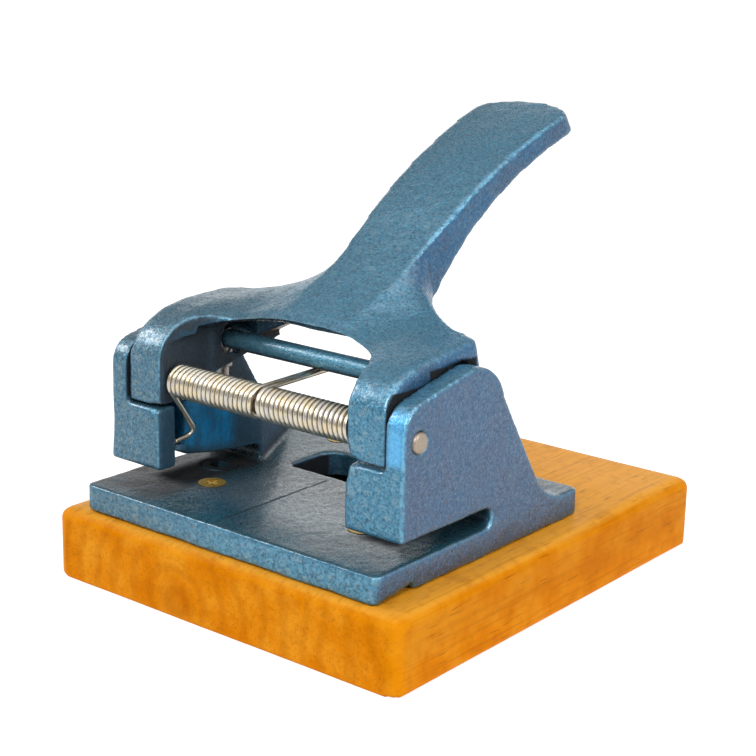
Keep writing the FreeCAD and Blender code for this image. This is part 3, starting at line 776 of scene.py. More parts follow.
    def colour(self, graph: Graph, speck: Sockets, cell: Sockets, masks: Sockets) -> Socket:
        """Mix the paint's colour, with painted shade and painted highlights laid over it.

        Args:
            graph: The material's tree.
            speck: The paint's lumps.
            cell: The paint's cells.
            masks: How clear the cells are, the inward faces and the dark gaps.

        Returns:
            The colour.
        """
        marks = EdgeMarks().put(graph, {"Break Size": self.breaks})
        pulled, inside = masks["pulled"], masks["inside"]
        across, along, up = graph.facing()
        place = graph.spot()[0]
        flank = graph.step(graph.math("ABSOLUTE", across), *self.flank_band)
        # faces that look to the sides take a darker, violet-patched copy of the paint: painted shade
        clouded = graph.step(graph.cloud(self.purple_patch, 3.0, 0.6), *self.purple_band)
        side_shade = graph.tint(graph.times(clouded, self.purple_share), self.side, self.purple)
        centre = graph.times(graph.less(1.0, cell["Rim"]), cell["Tone"], pulled)
        fine = graph.less(self.speck_share, graph.times(flank, self.flank_speck_share))
        # vertical streaks that break up the painted highlight on the guides
        guide_streak_noise = graph.cloud(self.guide_streak_size, 3.0, 0.65, graph.stretched(self.guide_streak_stretch))
        runs = graph.lifted(self.guide_streak_least, graph.step(guide_streak_noise, *self.guide_streak_band))
        # painted highlight on front-facing faces inside its boxes, on the right side only
        forward = graph.times(graph.step(along, *self.highlight_facing_band), graph.step(place, *self.right_band))
        painted_highlight = graph.times(self.any_of(graph, self.highlight_zones), forward)
        # painted highlight: glints on the edges that face the camera and the key lamp, broken into patches
        glint_facing = EdgeGlints().put(graph)["Mask"]
        hidden = graph.most(inside, self.any_of(graph, self.gaps))
        edge_glint = graph.times(marks["Ridge"], glint_facing, graph.less(1.0, hidden))
        breaks = graph.step(graph.cloud(self.glint_break_size, 2.0, 0.6), *self.glint_break_band)
        broken = graph.lifted(self.glint_break_least, breaks)
        return graph.layered(
            self.paint,
            # painted sheen, greyer towards the left
            (graph.times(graph.step(place, *self.left_band), self.left_sheen_share), self.left_sheen),
            (graph.times(flank, self.side_shade_share), side_shade),
            (graph.times(centre, self.cell_share), self.pale),
            (graph.times(cell["Rim"], pulled, self.cell_share), self.rim),
            (graph.times(speck["Dark"], fine), self.deep),
            (graph.times(speck["Bright"], fine, self.spark_share), self.spark),
            # painted shade on the inward faces of arms, cheeks and guides
            (graph.times(inside, self.inward_shade_share), self.inside),
            (graph.times(self.any_of(graph, self.guides), runs), self.lit_guide),
            # painted shade on faces that look down
            (graph.times(graph.step(up, *self.under_band), self.underside_shade_share), self.under),
            # painted shade in and round the hollows
            (graph.times(marks["Grime"], self.hollow_shade_share), self.hollow),
            (graph.times(marks["Hollow"], self.hollow_share), self.hollow),
            (graph.times(painted_highlight, self.painted_highlight_share), self.painted_highlight),
            # painted shade on the edges that face away from the camera and the key lamp
            (graph.times(marks["Ridge"], graph.less(1.0, glint_facing), self.shadow_share), self.rim),
            (graph.times(edge_glint, broken, self.edge_glint_share), self.ridge),
            # painted shade: the narrow gaps go near black
            (masks["unlit"], self.gap),
        )

    def material(self) -> bpy.types.Material:
        """Make the material.

        Returns:
            The finished material.
        """
        material, graph, shader = new_material(self.name)
        speck = Speckle().put(graph, {"Size": self.speckle})
        cell = HammerCells().put(graph, {"Size": self.cells})
        _, along, up = graph.facing()
        inside = InwardFaces().put(graph)["Mask"]
        unlit = self.unlit(graph)
        lit = graph.less(1.0, unlit)
        pulled = graph.plus(graph.times(graph.step(along, *self.front_band), self.pull), self.least_pull)
        colour = self.colour(graph, speck, cell, {"pulled": pulled, "inside": inside, "unlit": unlit})
        rough = graph.rising(self.polish, speck["Dark"], self.pinhole_dullness)
        dull = graph.most(graph.times(inside, self.inside_dullness), graph.times(unlit, self.gap_dullness))
        rough = graph.plus(rough, dull)
        bright = graph.less(1.0, graph.times(inside, 1.0 - self.inside_flake))
        flake = graph.times(bright, self.flake, lit)
        shine = graph.step(graph.cloud(self.shine_size, 3.0, 0.65), *self.shine_band)
        upper = graph.lifted(self.upper_least, graph.step(up, *self.upper_band))
        glossy = graph.rising(self.shine_least, shine, self.shine_rise)
        sheen = graph.times(lit, bright, self.sheen, glossy, upper)
        top = self.on_plate(graph, up) if self.plate else 0.0
        grains = graph.times(speck["Height"], self.speck_height)
        height = graph.plus(grains, graph.times(cell["Height"], pulled, self.cell_height))
        uneven = graph.less(self.lump_height, graph.times(top, self.lumps_off_plate))
        lumps = graph.times(graph.cloud(self.lump_size, 2.0, 0.6), uneven)
        bump = graph.bumped(self.bump, self.relief, graph.plus(height, lumps))
        if self.plate:
            film, dry = self.film(graph, speck, top)
            wetness = graph.times(self.wetness(graph, shine), graph.less(1.0, dry), lit)
            # painted shade in the gaps, over the plate's top too
            film = graph.tint(unlit, film, self.gap)
            colour = graph.tint(graph.times(top, self.film_share), colour, film)
            flake = graph.times(flake, graph.less(1.0, graph.times(top, self.flake_off_plate)))
            sheen = graph.plus(graph.times(sheen, graph.less(1.0, top)), graph.times(wetness, top))
            rough = graph.plus(rough, graph.times(dry, top, self.dry_dullness))
            rough = graph.less(rough, graph.times(top, self.film_gloss))
        finish_with(graph, shader, {
            "Base Color": colour, "Roughness": rough, "Metallic": flake, "Normal": bump,
            "Coat Weight": sheen, "Coat Roughness": self.coat_roughness, "Coat IOR": self.coat_ior,
            "IOR": self.ior,
        })
        return material


@dataclass(frozen=True)
class VarnishedWood:
    """Amber varnish over a board whose grain runs front to rear."""

    name: str
    amber: Colour = (0.78, 0.245, 0.0)
    honey: Colour = (0.86, 0.335, 0.014)
    brown: Colour = (0.47, 0.115, 0.0)
    pore: Colour = (0.24, 0.055, 0.002)
    # painted highlight: a brighter orange on the block's edges
    rim: Colour = (0.86, 0.3, 0.002)
    # painted light: a paler orange for the block's top faces
    painted_top_light: Colour = (1.0, 0.44, 0.035)
    shade: Colour = (0.006, 0.004, 0.003)
    heart: Band = (-14.0, 5.0)
    heart_size: Band = (9.0, 2.0)
    ring: float = 8.0
    ring_band: Band = (-0.2, 1.0)
    ring_sway: float = 16.0
    sway_size: float = 26.0
    sway_stretch: Point = (1.0, 0.035, 1.0)
    streak_size: float = 1.1
    streak_stretch: Point = (1.0, 0.016, 1.0)
    streak_band: Band = (0.5, 0.68)
    pore_size: float = 0.6
    pore_stretch: Point = (1.0, 0.05, 1.0)
    pore_band: Band = (0.66, 0.74)
    blotch_size: float = 15.0
    honey_band: Band = (0.4, 0.66)
    blotch_band: Band = (0.46, 0.3)
    mottle_size: float = 3.2
    mottle_band: Band = (0.5, 0.34)
    window: Point = (26.0, -24.0, 4.0)
    window_fade: float = 1.0
    level_band: Band = (0.7, 0.95)
    painted_top_light_share: float = 0.85
    ring_share: float = 0.24
    painted_top_light_rings: float = 0.16
    heart_share: float = 0.3
    streak_share: float = 0.32
    blotch_share: float = 0.3
    mottle_share: float = 0.18
    pore_share: float = 0.4
    edge_highlight_share: float = 0.5
    grain_height: float = 0.5
    polish: float = 0.26
    streak_dullness: float = 0.14
    coat_least: float = 0.14
    coat_rise: float = 0.24
    breaks: float = 9.0
    relief: float = 0.1
    bump: float = 0.35
    specular: float = 0.03
    coat_roughness: float = 0.3

    def under_casting(self, graph: Graph) -> Socket:
        """Find the wood that shows through the plate's window, which is painted near black as shade.

        Args:
            graph: The material's tree.

        Returns:
            The mask of that wood.
        """
        across, along, _ = graph.spot()
        half, front, rear = self.window
        fade = self.window_fade
        wide = graph.step(graph.math("ABSOLUTE", across), half, half - fade)
        deep = graph.times(graph.step(along, front, front + fade), graph.step(along, rear, rear - fade))
        return graph.times(wide, deep)

    def from_heart(self, graph: Graph) -> Socket:
        """Find each point's distance from the heart of the tree, which wanders along the board.

        Args:
            graph: The material's tree.

        Returns:
            The distance in millimetres.
        """
        long_point = graph.stretched(self.sway_stretch)
        sway = graph.cloud(self.sway_size, 2.0, 0.5, long_point)
        across, _, up = graph.axes(long_point)
        side = graph.less(across, self.heart[0])
        rise = graph.less(up, self.heart[1])
        reach = graph.math("SQRT", graph.plus(graph.times(side, side), graph.times(rise, rise)))
        return graph.plus(reach, graph.times(graph.less(sway, 0.5), self.ring_sway))

    def material(self) -> bpy.types.Material:
        """Make the material.

        Returns:
            The finished material.
        """
        material, graph, shader = new_material(self.name)
        reach = self.from_heart(graph)
        wave = graph.math("SINE", graph.times(reach, 2.0 * math.pi / self.ring))
        rings = graph.step(wave, *self.ring_band)
        streak = graph.cloud(self.streak_size, 3.0, 0.6, graph.stretched(self.streak_stretch))
        dots = graph.cloud(self.pore_size, 1.0, 0.5, graph.stretched(self.pore_stretch))
        pores = graph.step(dots, *self.pore_band)
        blotch = graph.cloud(self.blotch_size, 4.0, 0.6)
        mottle = graph.cloud(self.mottle_size, 3.0, 0.6)
        marks = EdgeMarks().put(graph, {"Break Size": self.breaks})
        level = graph.step(graph.facing()[2], *self.level_band)
        ring_share = graph.less(self.ring_share, graph.times(level, self.painted_top_light_rings))
        colour = graph.layered(
            self.amber,
            (graph.step(blotch, *self.honey_band), self.honey),
            # painted light on the faces that look up
            (graph.times(level, self.painted_top_light_share), self.painted_top_light),
            (graph.times(rings, ring_share), self.brown),
            (graph.times(graph.step(reach, *self.heart_size), self.heart_share), self.brown),
            (graph.times(graph.step(streak, *self.streak_band), self.streak_share), self.brown),
            (graph.times(graph.step(blotch, *self.blotch_band), self.blotch_share), self.brown),
            (graph.times(graph.step(mottle, *self.mottle_band), self.mottle_share), self.brown),
            (graph.times(pores, self.pore_share), self.pore),
            # painted highlight on the edges
            (graph.times(marks["Ridge"], self.edge_highlight_share), self.rim),
            # painted shade: the wood under the plate's window goes near black
            (self.under_casting(graph), self.shade),
        )
        height = graph.less(graph.times(streak, self.grain_height), graph.times(pores, self.grain_height))
        finish_with(graph, shader, {
            "Base Color": colour, "Roughness": graph.rising(self.polish, streak, self.streak_dullness),
            "Normal": graph.bumped(self.bump, self.relief, height),
            "Specular IOR Level": self.specular, "Coat Roughness": self.coat_roughness,
            "Coat Weight": graph.times(level, graph.rising(self.coat_least, streak, self.coat_rise)),
        })
        return material


@dataclass(frozen=True)
class BareMetal:
    """Bare, plated or oiled metal."""

    name: str
    metal: Colour
    warm: Colour
    cool: Colour
    dull: Colour
    polish: float = 0.26
    patch: float = 6.0
    grain: float = 0.3
    relief: float = 0.04
    bump: float = 0.4
    bare: float = 1.0
    warm_share: float = 0.7
    cool_share: float = 0.55
    dull_share: float = 0.5
    dull_band: Band = (0.56, 0.74)
    patch_dullness: float = 0.12
    # painted highlight: bright yellow for the screws' cross recess, below the band's height
    recess_highlight: Colour | None = None
    recess_band: Band = (30.3, 30.1)

    def material(self) -> bpy.types.Material:
        """Make the material.

        Returns:
            The finished material.
        """
        material, graph, shader = new_material(self.name)
        marks = Tarnish().put(graph, {"Patch Size": self.patch, "Grain Size": self.grain})
        colour = graph.layered(
            self.metal,
            (graph.times(marks["Patch"], self.warm_share), self.warm),
            (graph.times(marks["Other Patch"], self.cool_share), self.cool),
            (graph.times(graph.step(marks["Grain"], *self.dull_band), self.dull_share), self.dull),
        )
        # painted highlight in the screws' cross recess
        if self.recess_highlight is not None:
            colour = graph.tint(graph.step(graph.spot()[2], *self.recess_band), colour, self.recess_highlight)
        rough = graph.rising(self.polish, marks["Other Patch"], self.patch_dullness)
        finish_with(graph, shader, {
            "Base Color": colour, "Roughness": rough, "Metallic": self.bare,
            "Normal": graph.bumped(self.bump, self.relief, marks["Grain"]),
        })
        return material


def placed(name: str, data: bpy.types.ID) -> bpy.types.Object:
    """Put a new object into the scene."""
    made = bpy.data.objects.new(name, data)
    bpy.context.scene.collection.objects.link(made)
    return made


def tube(name: str, rings: Sequence[Sequence[Vector]]) -> bpy.types.Mesh:
    """Make a closed round bar or wire.

    Args:
        name: The mesh's name.
        rings: The points of its rings in metres, in order along it.

    Returns:
        The mesh.
    """
    form = bmesh.new()
    rows = [[form.verts.new(point) for point in ring] for ring in rings]
    for first, second in zip(rows, rows[1:]):
        for step in range(len(first)):
            after = (step + 1) % len(first)
            form.faces.new((first[step], first[after], second[after], second[step]))
    form.faces.new(rows[0][::-1])
    form.faces.new(rows[-1])
    bmesh.ops.recalc_face_normals(form, faces=form.faces)
    mesh = bpy.data.meshes.new(name)
    form.to_mesh(mesh)
    form.free()
    mesh.shade_smooth()
    return mesh


def ramp(values: np.ndarray, low: float, high: float) -> np.ndarray:
    """Give a soft step of each value, from 0 at low to 1 at high."""
    share = np.clip((values - low) / (high - low), 0.0, 1.0)
    return share * share * (3.0 - 2.0 * share)


def widened(flat: np.ndarray, start: np.ndarray, end: np.ndarray, radius: float) -> np.ndarray:
    """Move points of a plane out of a slot with round ends.

    Args:
        flat: The points.
        start: The middle of the slot's first end.
        end: The middle of its other end, the same for a round hole.
        radius: Half the slot's width.

    Returns:
        The moved points.
    """
    run = end - start
    share = np.clip((flat - start) @ run / max(run @ run, 1e-9), 0.0, 1.0)
    away = flat - start - share[:, None] * run
    reach = np.linalg.norm(away, axis=1)
    push = np.clip(radius - reach, 0.0, None) / np.maximum(reach, 1.0)
    return flat + away * push[:, None]


@dataclass
class Skin:
    """A dense skin over a solid of the frame, which can be softened and made uneven."""

    points: np.ndarray
    edges: np.ndarray
    degree: np.ndarray = field(init=False)

    def __post_init__(self) -> None:
        """Count each point's neighbours."""
        self.degree = np.bincount(self.edges.ravel(), minlength=len(self.points)).astype(float)

    def spread(self, values: np.ndarray) -> np.ndarray:
        """Give each point the mean of its neighbours' values.

        Args:
            values: One value for each point.

        Returns:
            The means.
        """
        first, second = self.edges[:, 0], self.edges[:, 1]
        count = len(self.points)
        total = np.bincount(first, values[second], count) + np.bincount(second, values[first], count)
        return total / self.degree

    def softened(self, values: np.ndarray, rounds: int, share: np.ndarray | float = 0.5) -> np.ndarray:
        """Smooth values over the skin.

        Args:
            values: One value for each point, or one column for each of several.
            rounds: How often each point moves towards its neighbours.
            share: How far it moves each time.

        Returns:
            The smoothed values.
        """
        columns = [values] if values.ndim == 1 else list(values.T)
        part = np.ravel(share)
        done = []
        for column in columns:
            current = column.copy()
            for _ in range(rounds):
                current = current + part * (self.spread(current) - current)
            done.append(current)
        return done[0] if values.ndim == 1 else np.column_stack(done)


@dataclass
class SkinnedPiece:
    """One piece of the punch as a dense skin grown over its solid."""

    node: str
    piece: str
    body: Body
    slot: Slot
    voxel: float
    rounds: int
    unevenness: Sequence[tuple[float, float]] = ()
    ridge_height: float = 0.22
    ridge_rounds: int = 14
    ridge_limit: float = 1.5
    hollow_shade_rounds: int = 90

    def grow(self) -> bpy.types.Object:
        """Copy the solid's mesh into a new piece and remesh it evenly.

        Returns:
            The new piece.
        """
        piece = placed(self.piece, bpy.data.objects[self.node].data.copy())
        remesh = piece.modifiers.new("even", "REMESH")
        remesh.mode = "VOXEL"
        remesh.voxel_size = self.voxel * MM
        remesh.use_smooth_shade = True
        bpy.context.view_layer.update()
        seen = piece.evaluated_get(bpy.context.evaluated_depsgraph_get())
        mesh = bpy.data.meshes.new_from_object(seen)
        piece.modifiers.clear()
        piece.data = mesh
        mesh.name = self.piece
        return piece

    def shape(self, skin: Skin, normals: np.ndarray) -> None:
        """Change the softened skin's form where the piece needs it."""

    def fit(self, points: np.ndarray) -> np.ndarray:
        """Give the finished points, moved clear of what passes through the piece."""
        return points

    def normals(self, mesh: bpy.types.Mesh) -> np.ndarray:
        """Read the direction of the surface at each point.

        Args:
            mesh: The piece's mesh.

        Returns:
            One direction for each point.
        """
        values = np.empty(len(mesh.vertices) * 3)
        mesh.vertex_normals.foreach_get("vector", values)
        return values.reshape(-1, 3)

    def write(self, mesh: bpy.types.Mesh, points: np.ndarray) -> None:
        """Move the mesh's points, given in millimetres."""
        mesh.vertices.foreach_set("co", (points * MM).ravel())
        mesh.update()

    def weather(self, piece: bpy.types.Object) -> None:
        """Soften the corners, make the surface uneven and keep where its ridges and hollows are.

        Args:
            piece: The remeshed piece.
        """
        mesh = piece.data
        points = np.empty(len(mesh.vertices) * 3)
        mesh.vertices.foreach_get("co", points)
        edges = np.empty(len(mesh.edges) * 2, dtype=np.int32)
        mesh.edges.foreach_get("vertices", edges)
        skin = Skin(points.reshape(-1, 3) / MM, edges.reshape(-1, 2))
        skin.points = skin.softened(skin.points, self.rounds)
        self.write(mesh, skin.points)
        self.shape(skin, self.normals(mesh))
        self.write(mesh, skin.points)
        normals = self.normals(mesh)
        beyond = skin.softened(skin.points, self.ridge_rounds)
        edge = np.einsum("ij,ij->i", skin.points - beyond, normals) / self.ridge_height
        # a wide soft mask round the hollows, used for painted shade
        grime = skin.softened(np.clip(-edge, 0.0, 1.0), self.hollow_shade_rounds)
        edge = np.clip(edge, -self.ridge_limit, self.ridge_limit)
        for name, values in ((EDGE_LAYER, edge), (HOLLOW_SHADE_LAYER, grime)):
            mesh.attributes.new(name, "FLOAT", "POINT").data.foreach_set("value", values.astype(np.float32))
        lift = np.zeros(len(skin.points))
        for size, height in self.unevenness:
            lift += height * np.array([noise.noise(Vector(point)) for point in skin.points / size])
        self.write(mesh, self.fit(skin.points + normals * lift[:, None]))

    def build(self, finish: bpy.types.Material) -> bpy.types.Object:
        """Make the piece and dress it.

        Args:
            finish: The material.

        Returns:
            The finished piece.
        """
        piece = self.grow()
        self.weather(piece)
        return settle(piece, self.body, finish, (self.node,))


def settle(
    piece: bpy.types.Object, body: Body, finish: bpy.types.Material, nodes: Sequence[str]
) -> bpy.types.Object:
    """Give a piece its material and its place in the frame.

    Args:
        piece: The piece, already in place.
        body: The body it moves with.
        finish: The material.
        nodes: The frame's nodes that it stands for.

    Returns:
        The same piece.
    """
    piece.data.materials.clear()
    piece.data.materials.append(finish)
    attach(piece, body.value)
    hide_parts(*nodes)
    log.info("%s: %d faces", piece.name, len(piece.data.polygons))
    return piece


@dataclass
class BaseCasting(SkinnedPiece):
    """The iron casting: plate, cheeks, stop columns and punch guides."""

    node: str = "base_casting"
    piece: str = "enamelled_casting"
    body: Body = Body.BASE
    slot: Slot = Slot.ENAMEL
    voxel: float = 0.67
    rounds: int = 3
    unevenness: Sequence[tuple[float, float]] = ((2.2, 0.07), (6.0, 0.08), (14.0, 0.12))
    underside: float = 22.0
    ragged: float = 0.55
    left_reach: float = 1.3
    flare: float = 0.8
    punch_place: Band = (40.0, -33.7)
    guide_bore: float = 3.3
    column_inner: Band = (41.0, 37.0)
    column_front: Band = (-57.5, -60.0)
    column_top: Band = (49.0, 53.0)
    corner_rounds: int = 30
    left_edge: Band = (-53.0, -55.5)
    plate_rise: Band = (32.5, 31.0)
    plate_front: Band = (-30.0, -50.0)
    flare_low: Band = (33.0, 35.0)
    flare_high: Band = (48.0, 37.0)
    rim_height: float = 1.2
    rim_size: float = 11.0
    rim_lift: float = 0.55

    def fit(self, points: np.ndarray) -> np.ndarray:
        """Keep the bores of both punch guides open.

        Args:
            points: The finished points.

        Returns:
            The points, moved out of the punches' way.
        """
        fitted = points.copy()
        for side in (-1.0, 1.0):
            place = np.array((side, 1.0)) * self.punch_place
            fitted[:, :2] = widened(fitted[:, :2], place, place, self.guide_bore)
        return fitted

    def shape(self, skin: Skin, normals: np.ndarray) -> None:
        """Round the columns' inner corners and lift the plate's lower rim unevenly off the block.

        Args:
            skin: The softened skin.
            normals: The direction of the surface at each point; not used.
        """
        points = skin.points
        inner = ramp(np.abs(points[:, 0]), *self.column_inner) * ramp(points[:, 1], *self.column_front)
        corner = inner * ramp(points[:, 2], *self.column_top)
        skin.points = points = skin.softened(points, self.corner_rounds, 0.5 * corner[:, None])
        edge = ramp(points[:, 0], *self.left_edge)
        plate = ramp(points[:, 2], *self.plate_rise) * ramp(points[:, 1], *self.plate_front)
        foot = ramp(points[:, 2], *self.flare_high) * ramp(points[:, 2], *self.flare_low)
        points[:, 0] -= edge * (self.left_reach * plate + self.flare * foot)
        low = np.clip((self.underside + self.rim_height - points[:, 2]) / self.rim_height, 0.0, 1.0)
        for row in np.nonzero(low > 0.0)[0]:
            spot = Vector(points[row] / self.rim_size)
            spot.z = 0.0
            points[row, 2] += self.ragged * low[row] * (self.rim_lift + noise.noise(spot))


@dataclass
class LeverCasting(SkinnedPiece):
    """The fork lever with its long grip."""

    node: str = "lever"
    piece: str = "enamelled_lever"
    body: Body = Body.LEVER
    slot: Slot = Slot.ENAMEL
    voxel: float = 0.6
    rounds: int = 5
    unevenness: Sequence[tuple[float, float]] = ((2.6, 0.07), (6.0, 0.12), (16.0, 0.15))
    pivot_y: float = -56.6
    crown: float = 2.0
    left_crown: float = 1.8
    grip_swell: float = 0.5
    lean: float = 1.2
    edge_left: float = 0.1
    edge_back: float = 1.0
    slot_front: Band = (22.3, 9.1)
    slot_rear: Band = (27.8, 10.5)
    slot_radius: float = 5.15
    pivot_bore: float = 3.3
    pivot_z: float = 63.55
    web_reach: float = 34.0
    web_depth: Band = (6.0, 34.0)
    web_low: float = 72.0
    web_level: float = 0.85
    web_thickness: Band = (5.5, 4.0)
    edge_fit: float = 9.0
    edge_taper: Band = (0.0, 7.0)
    edge_shift: Band = (5.0, 0.0)
    edge_sides: Band = (33.0, 29.0)
    shoulder_front: Band = (-8.0, 8.0)
    shoulder_rear: Band = (42.0, 10.0)
    shoulder_side: Band = (22.0, 38.0)
    grip_start: Band = (52.0, 70.0)
    grip_flank: Band = (0.7, 0.2)
    lean_low: Band = (84.0, 90.0)
    lean_high: Band = (104.0, 94.0)
    lean_rear: Band = (30.0, 45.0)
    heel_side: Band = (41.0, 37.5)
    heel_low: Band = (62.0, 58.0)
    heel_front: Band = (3.0, 0.0)
    brow_side: Band = (43.0, 47.0)
    brow_low: Band = (70.0, 74.0)
    brow_rear: Band = (48.0, 40.0)
    brow_share: float = 0.8
    corner_rounds: int = 30

    def fit(self, points: np.ndarray) -> np.ndarray:
        """Keep the slot of the cross rod and the bore of the pivot pin open.

        Args:
            points: The finished points.

        Returns:
            The points, moved out of the way of rod and pin.
        """
        pivot = np.array((self.pivot_y, self.pivot_z))
        front, rear = pivot + self.slot_front, pivot + self.slot_rear
        fitted = points.copy()
        fitted[:, 1:] = widened(fitted[:, 1:], front, rear, self.slot_radius)
        fitted[:, 1:] = widened(fitted[:, 1:], pivot, pivot, self.pivot_bore)
        return fitted

    def thin_edge(self, points: np.ndarray, normals: np.ndarray) -> None:
        """Taper the web towards the edge of its opening.

        Args:
            points: The skin's points, which are moved.
            normals: The direction of the surface at each point.
        """
        reach = np.abs(points[:, 0])
        rearward = points[:, 1] - self.pivot_y
        deep = (rearward > self.web_depth[0]) & (rearward < self.web_depth[1])
        web = (reach < self.web_reach) & deep & (points[:, 2] > self.web_low)
        top = web & (normals[:, 2] > self.web_level)
        columns = np.round(reach).astype(int)
        front = np.full(columns.max() + 1, np.inf)
        np.minimum.at(front, columns[top], rearward[top])
        squares = (reach ** 2, rearward ** 2, reach * rearward)
        terms = np.column_stack((np.ones_like(reach), reach, rearward, *squares))
        near = top & (rearward < front[columns] + self.edge_fit)
        fitted = np.linalg.lstsq(terms[near], points[near, 2], rcond=None)[0]
        depth = np.clip(terms @ fitted - points[:, 2], 0.0, None)
        back = np.where(web, rearward - np.where(np.isfinite(front[columns]), front[columns], 0.0), 99.0)
        points[:, 1] += self.edge_back * ramp(back, *self.edge_shift) * ramp(reach, *self.edge_sides)
        keep = self.edge_left + (1.0 - self.edge_left) * ramp(back, *self.edge_taper)
        points[:, 2] += (1.0 - keep) * depth * ramp(depth, *self.web_thickness) * web

    def shape(self, skin: Skin, normals: np.ndarray) -> None:
        """Crown the shoulders, thin the web's edge, fill out the grip and round the arms' corners.

        Args:
            skin: The softened skin.
            normals: The direction of the surface at each point.
        """
        points = skin.points
        self.thin_edge(points, normals)
        reach = np.abs(points[:, 0])
        rearward = points[:, 1] - self.pivot_y
        across, height = points[:, 0], points[:, 2]
        shoulder = ramp(rearward, *self.shoulder_front) * ramp(rearward, *self.shoulder_rear)
        shoulder = shoulder * ramp(reach, *self.shoulder_side)
        crown = self.crown + self.left_crown * (across < 0.0)
        height += crown * shoulder * np.clip(normals[:, 2], 0.0, 1.0) ** 0.5
        grip = ramp(rearward, *self.grip_start) * ramp(normals[:, 2], *self.grip_flank)
        points += normals * (self.grip_swell * grip)[:, None]
        neck = ramp(height, *self.lean_low) * ramp(height, *self.lean_high)
        across += self.lean * neck * ramp(rearward, *self.lean_rear)
        heel = ramp(reach, *self.heel_side) * ramp(height, *self.heel_low) * ramp(rearward, *self.heel_front)
        brow = ramp(reach, *self.brow_side) * ramp(height, *self.brow_low) * ramp(rearward, *self.brow_rear)
        corner = np.maximum(heel, self.brow_share * brow)
        skin.points = skin.softened(points, self.corner_rounds, 0.5 * corner[:, None])


@dataclass
class WoodBlock(SkinnedPiece):
    """The wooden block under the casting."""

    node: str = "wood_base"
    piece: str = "varnished_block"
    body: Body = Body.BASE
    slot: Slot = Slot.WOOD
    voxel: float = 0.9
    rounds: int = 1
    unevenness: Sequence[tuple[float, float]] = ((30.0, 0.1), (5.0, 0.03))
    ridge_height: float = 0.35
    swell: float = 1.3
    rear_lift: float = 0.8
    rear_band: Band = (15.0, 55.0)
    upper_band: Band = (10.0, 22.0)

    def shape(self, skin: Skin, normals: np.ndarray) -> None:
        """Fill out the block's sides and lift the rear of its top a little.

        Args:
            skin: The softened skin.
            normals: The direction of the surface at each point.
        """
        level = normals * np.array((1.0, 1.0, 0.0))
        skin.points = skin.points + level * self.swell
        upper = ramp(skin.points[:, 2], *self.upper_band)
        skin.points[:, 2] += self.rear_lift * ramp(skin.points[:, 1], *self.rear_band) * upper

    def fit(self, points: np.ndarray) -> np.ndarray:
        """Keep the block on the table."""
        return np.maximum(points, np.array((-np.inf, -np.inf, 0.0)))


@dataclass
class TurnedPiece:
    """A round bar that lies across the punch."""

    node: str
    piece: str
    body: Body
    slot: Slot
    profile: Sequence[tuple[float, float]]
    segments: int = 48

    def build(self, finish: bpy.types.Material) -> bpy.types.Object:
        """Turn the profile about the bar's axis and dress the bar.

        Args:
            finish: The material.

        Returns:
            The finished piece.
        """
        low, high = (Vector(corner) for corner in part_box(self.node))
        centre = (low + high) / 2
        rings = [self.ring(along, radius, centre) for along, radius in self.profile]
        piece = placed(self.piece, tube(self.piece, rings))
        return settle(piece, self.body, finish, (self.node,))

    def ring(self, along: float, radius: float, centre: Vector) -> list[Vector]:
        """Give one ring of points.

        Args:
            along: The ring's place along the bar, in millimetres from its middle.
            radius: The ring's radius in millimetres.
            centre: The bar's middle in metres.

        Returns:
            The ring's points.
        """
        points = []
        for step in range(self.segments):
            turn = 2.0 * math.pi * step / self.segments
            offset = Vector((along, math.cos(turn) * radius, math.sin(turn) * radius))
            points.append(centre + offset * MM)
        return points


@dataclass
class WireLine:
    """The middle line of a bent wire."""

    here: Vector
    heading: Vector
    points: list[Vector] = field(default_factory=list)
    spacing: float = 0.6

    def __post_init__(self) -> None:
        """Start the line at its first point."""
        self.heading = self.heading.normalized()
        self.points.append(self.here.copy())

    def straight(self, length: float) -> "WireLine":
        """Go straight on.

        Args:
            length: The run's length.

        Returns:
            The line.
        """
        count = max(1, round(length / self.spacing))
        start = self.here.copy()
        for step in range(1, count + 1):
            self.points.append(start + self.heading * (length * step / count))
        self.here = self.points[-1].copy()
        return self

    def bend(self, heading: Vector, radius: float) -> "WireLine":
        """Turn to a new heading on an arc.

        Args:
            heading: The heading after the bend.
            radius: The arc's radius.

        Returns:
            The line.
        """
        heading = heading.normalized()
        axis = self.heading.cross(heading)
        if axis.length < 1e-6:
            return self
        axis.normalize()
        turn = self.heading.angle(heading)
        middle = self.here + axis.cross(self.heading) * radius
        count = max(3, round(turn * max(radius, 1.5) / self.spacing * 2))
        spoke = self.here - middle
        for step in range(1, count + 1):
            swing = Matrix.Rotation(turn * step / count, 3, axis)
            self.points.append(middle + swing @ spoke)
        self.here = self.points[-1].copy()
        self.heading = heading
        return self


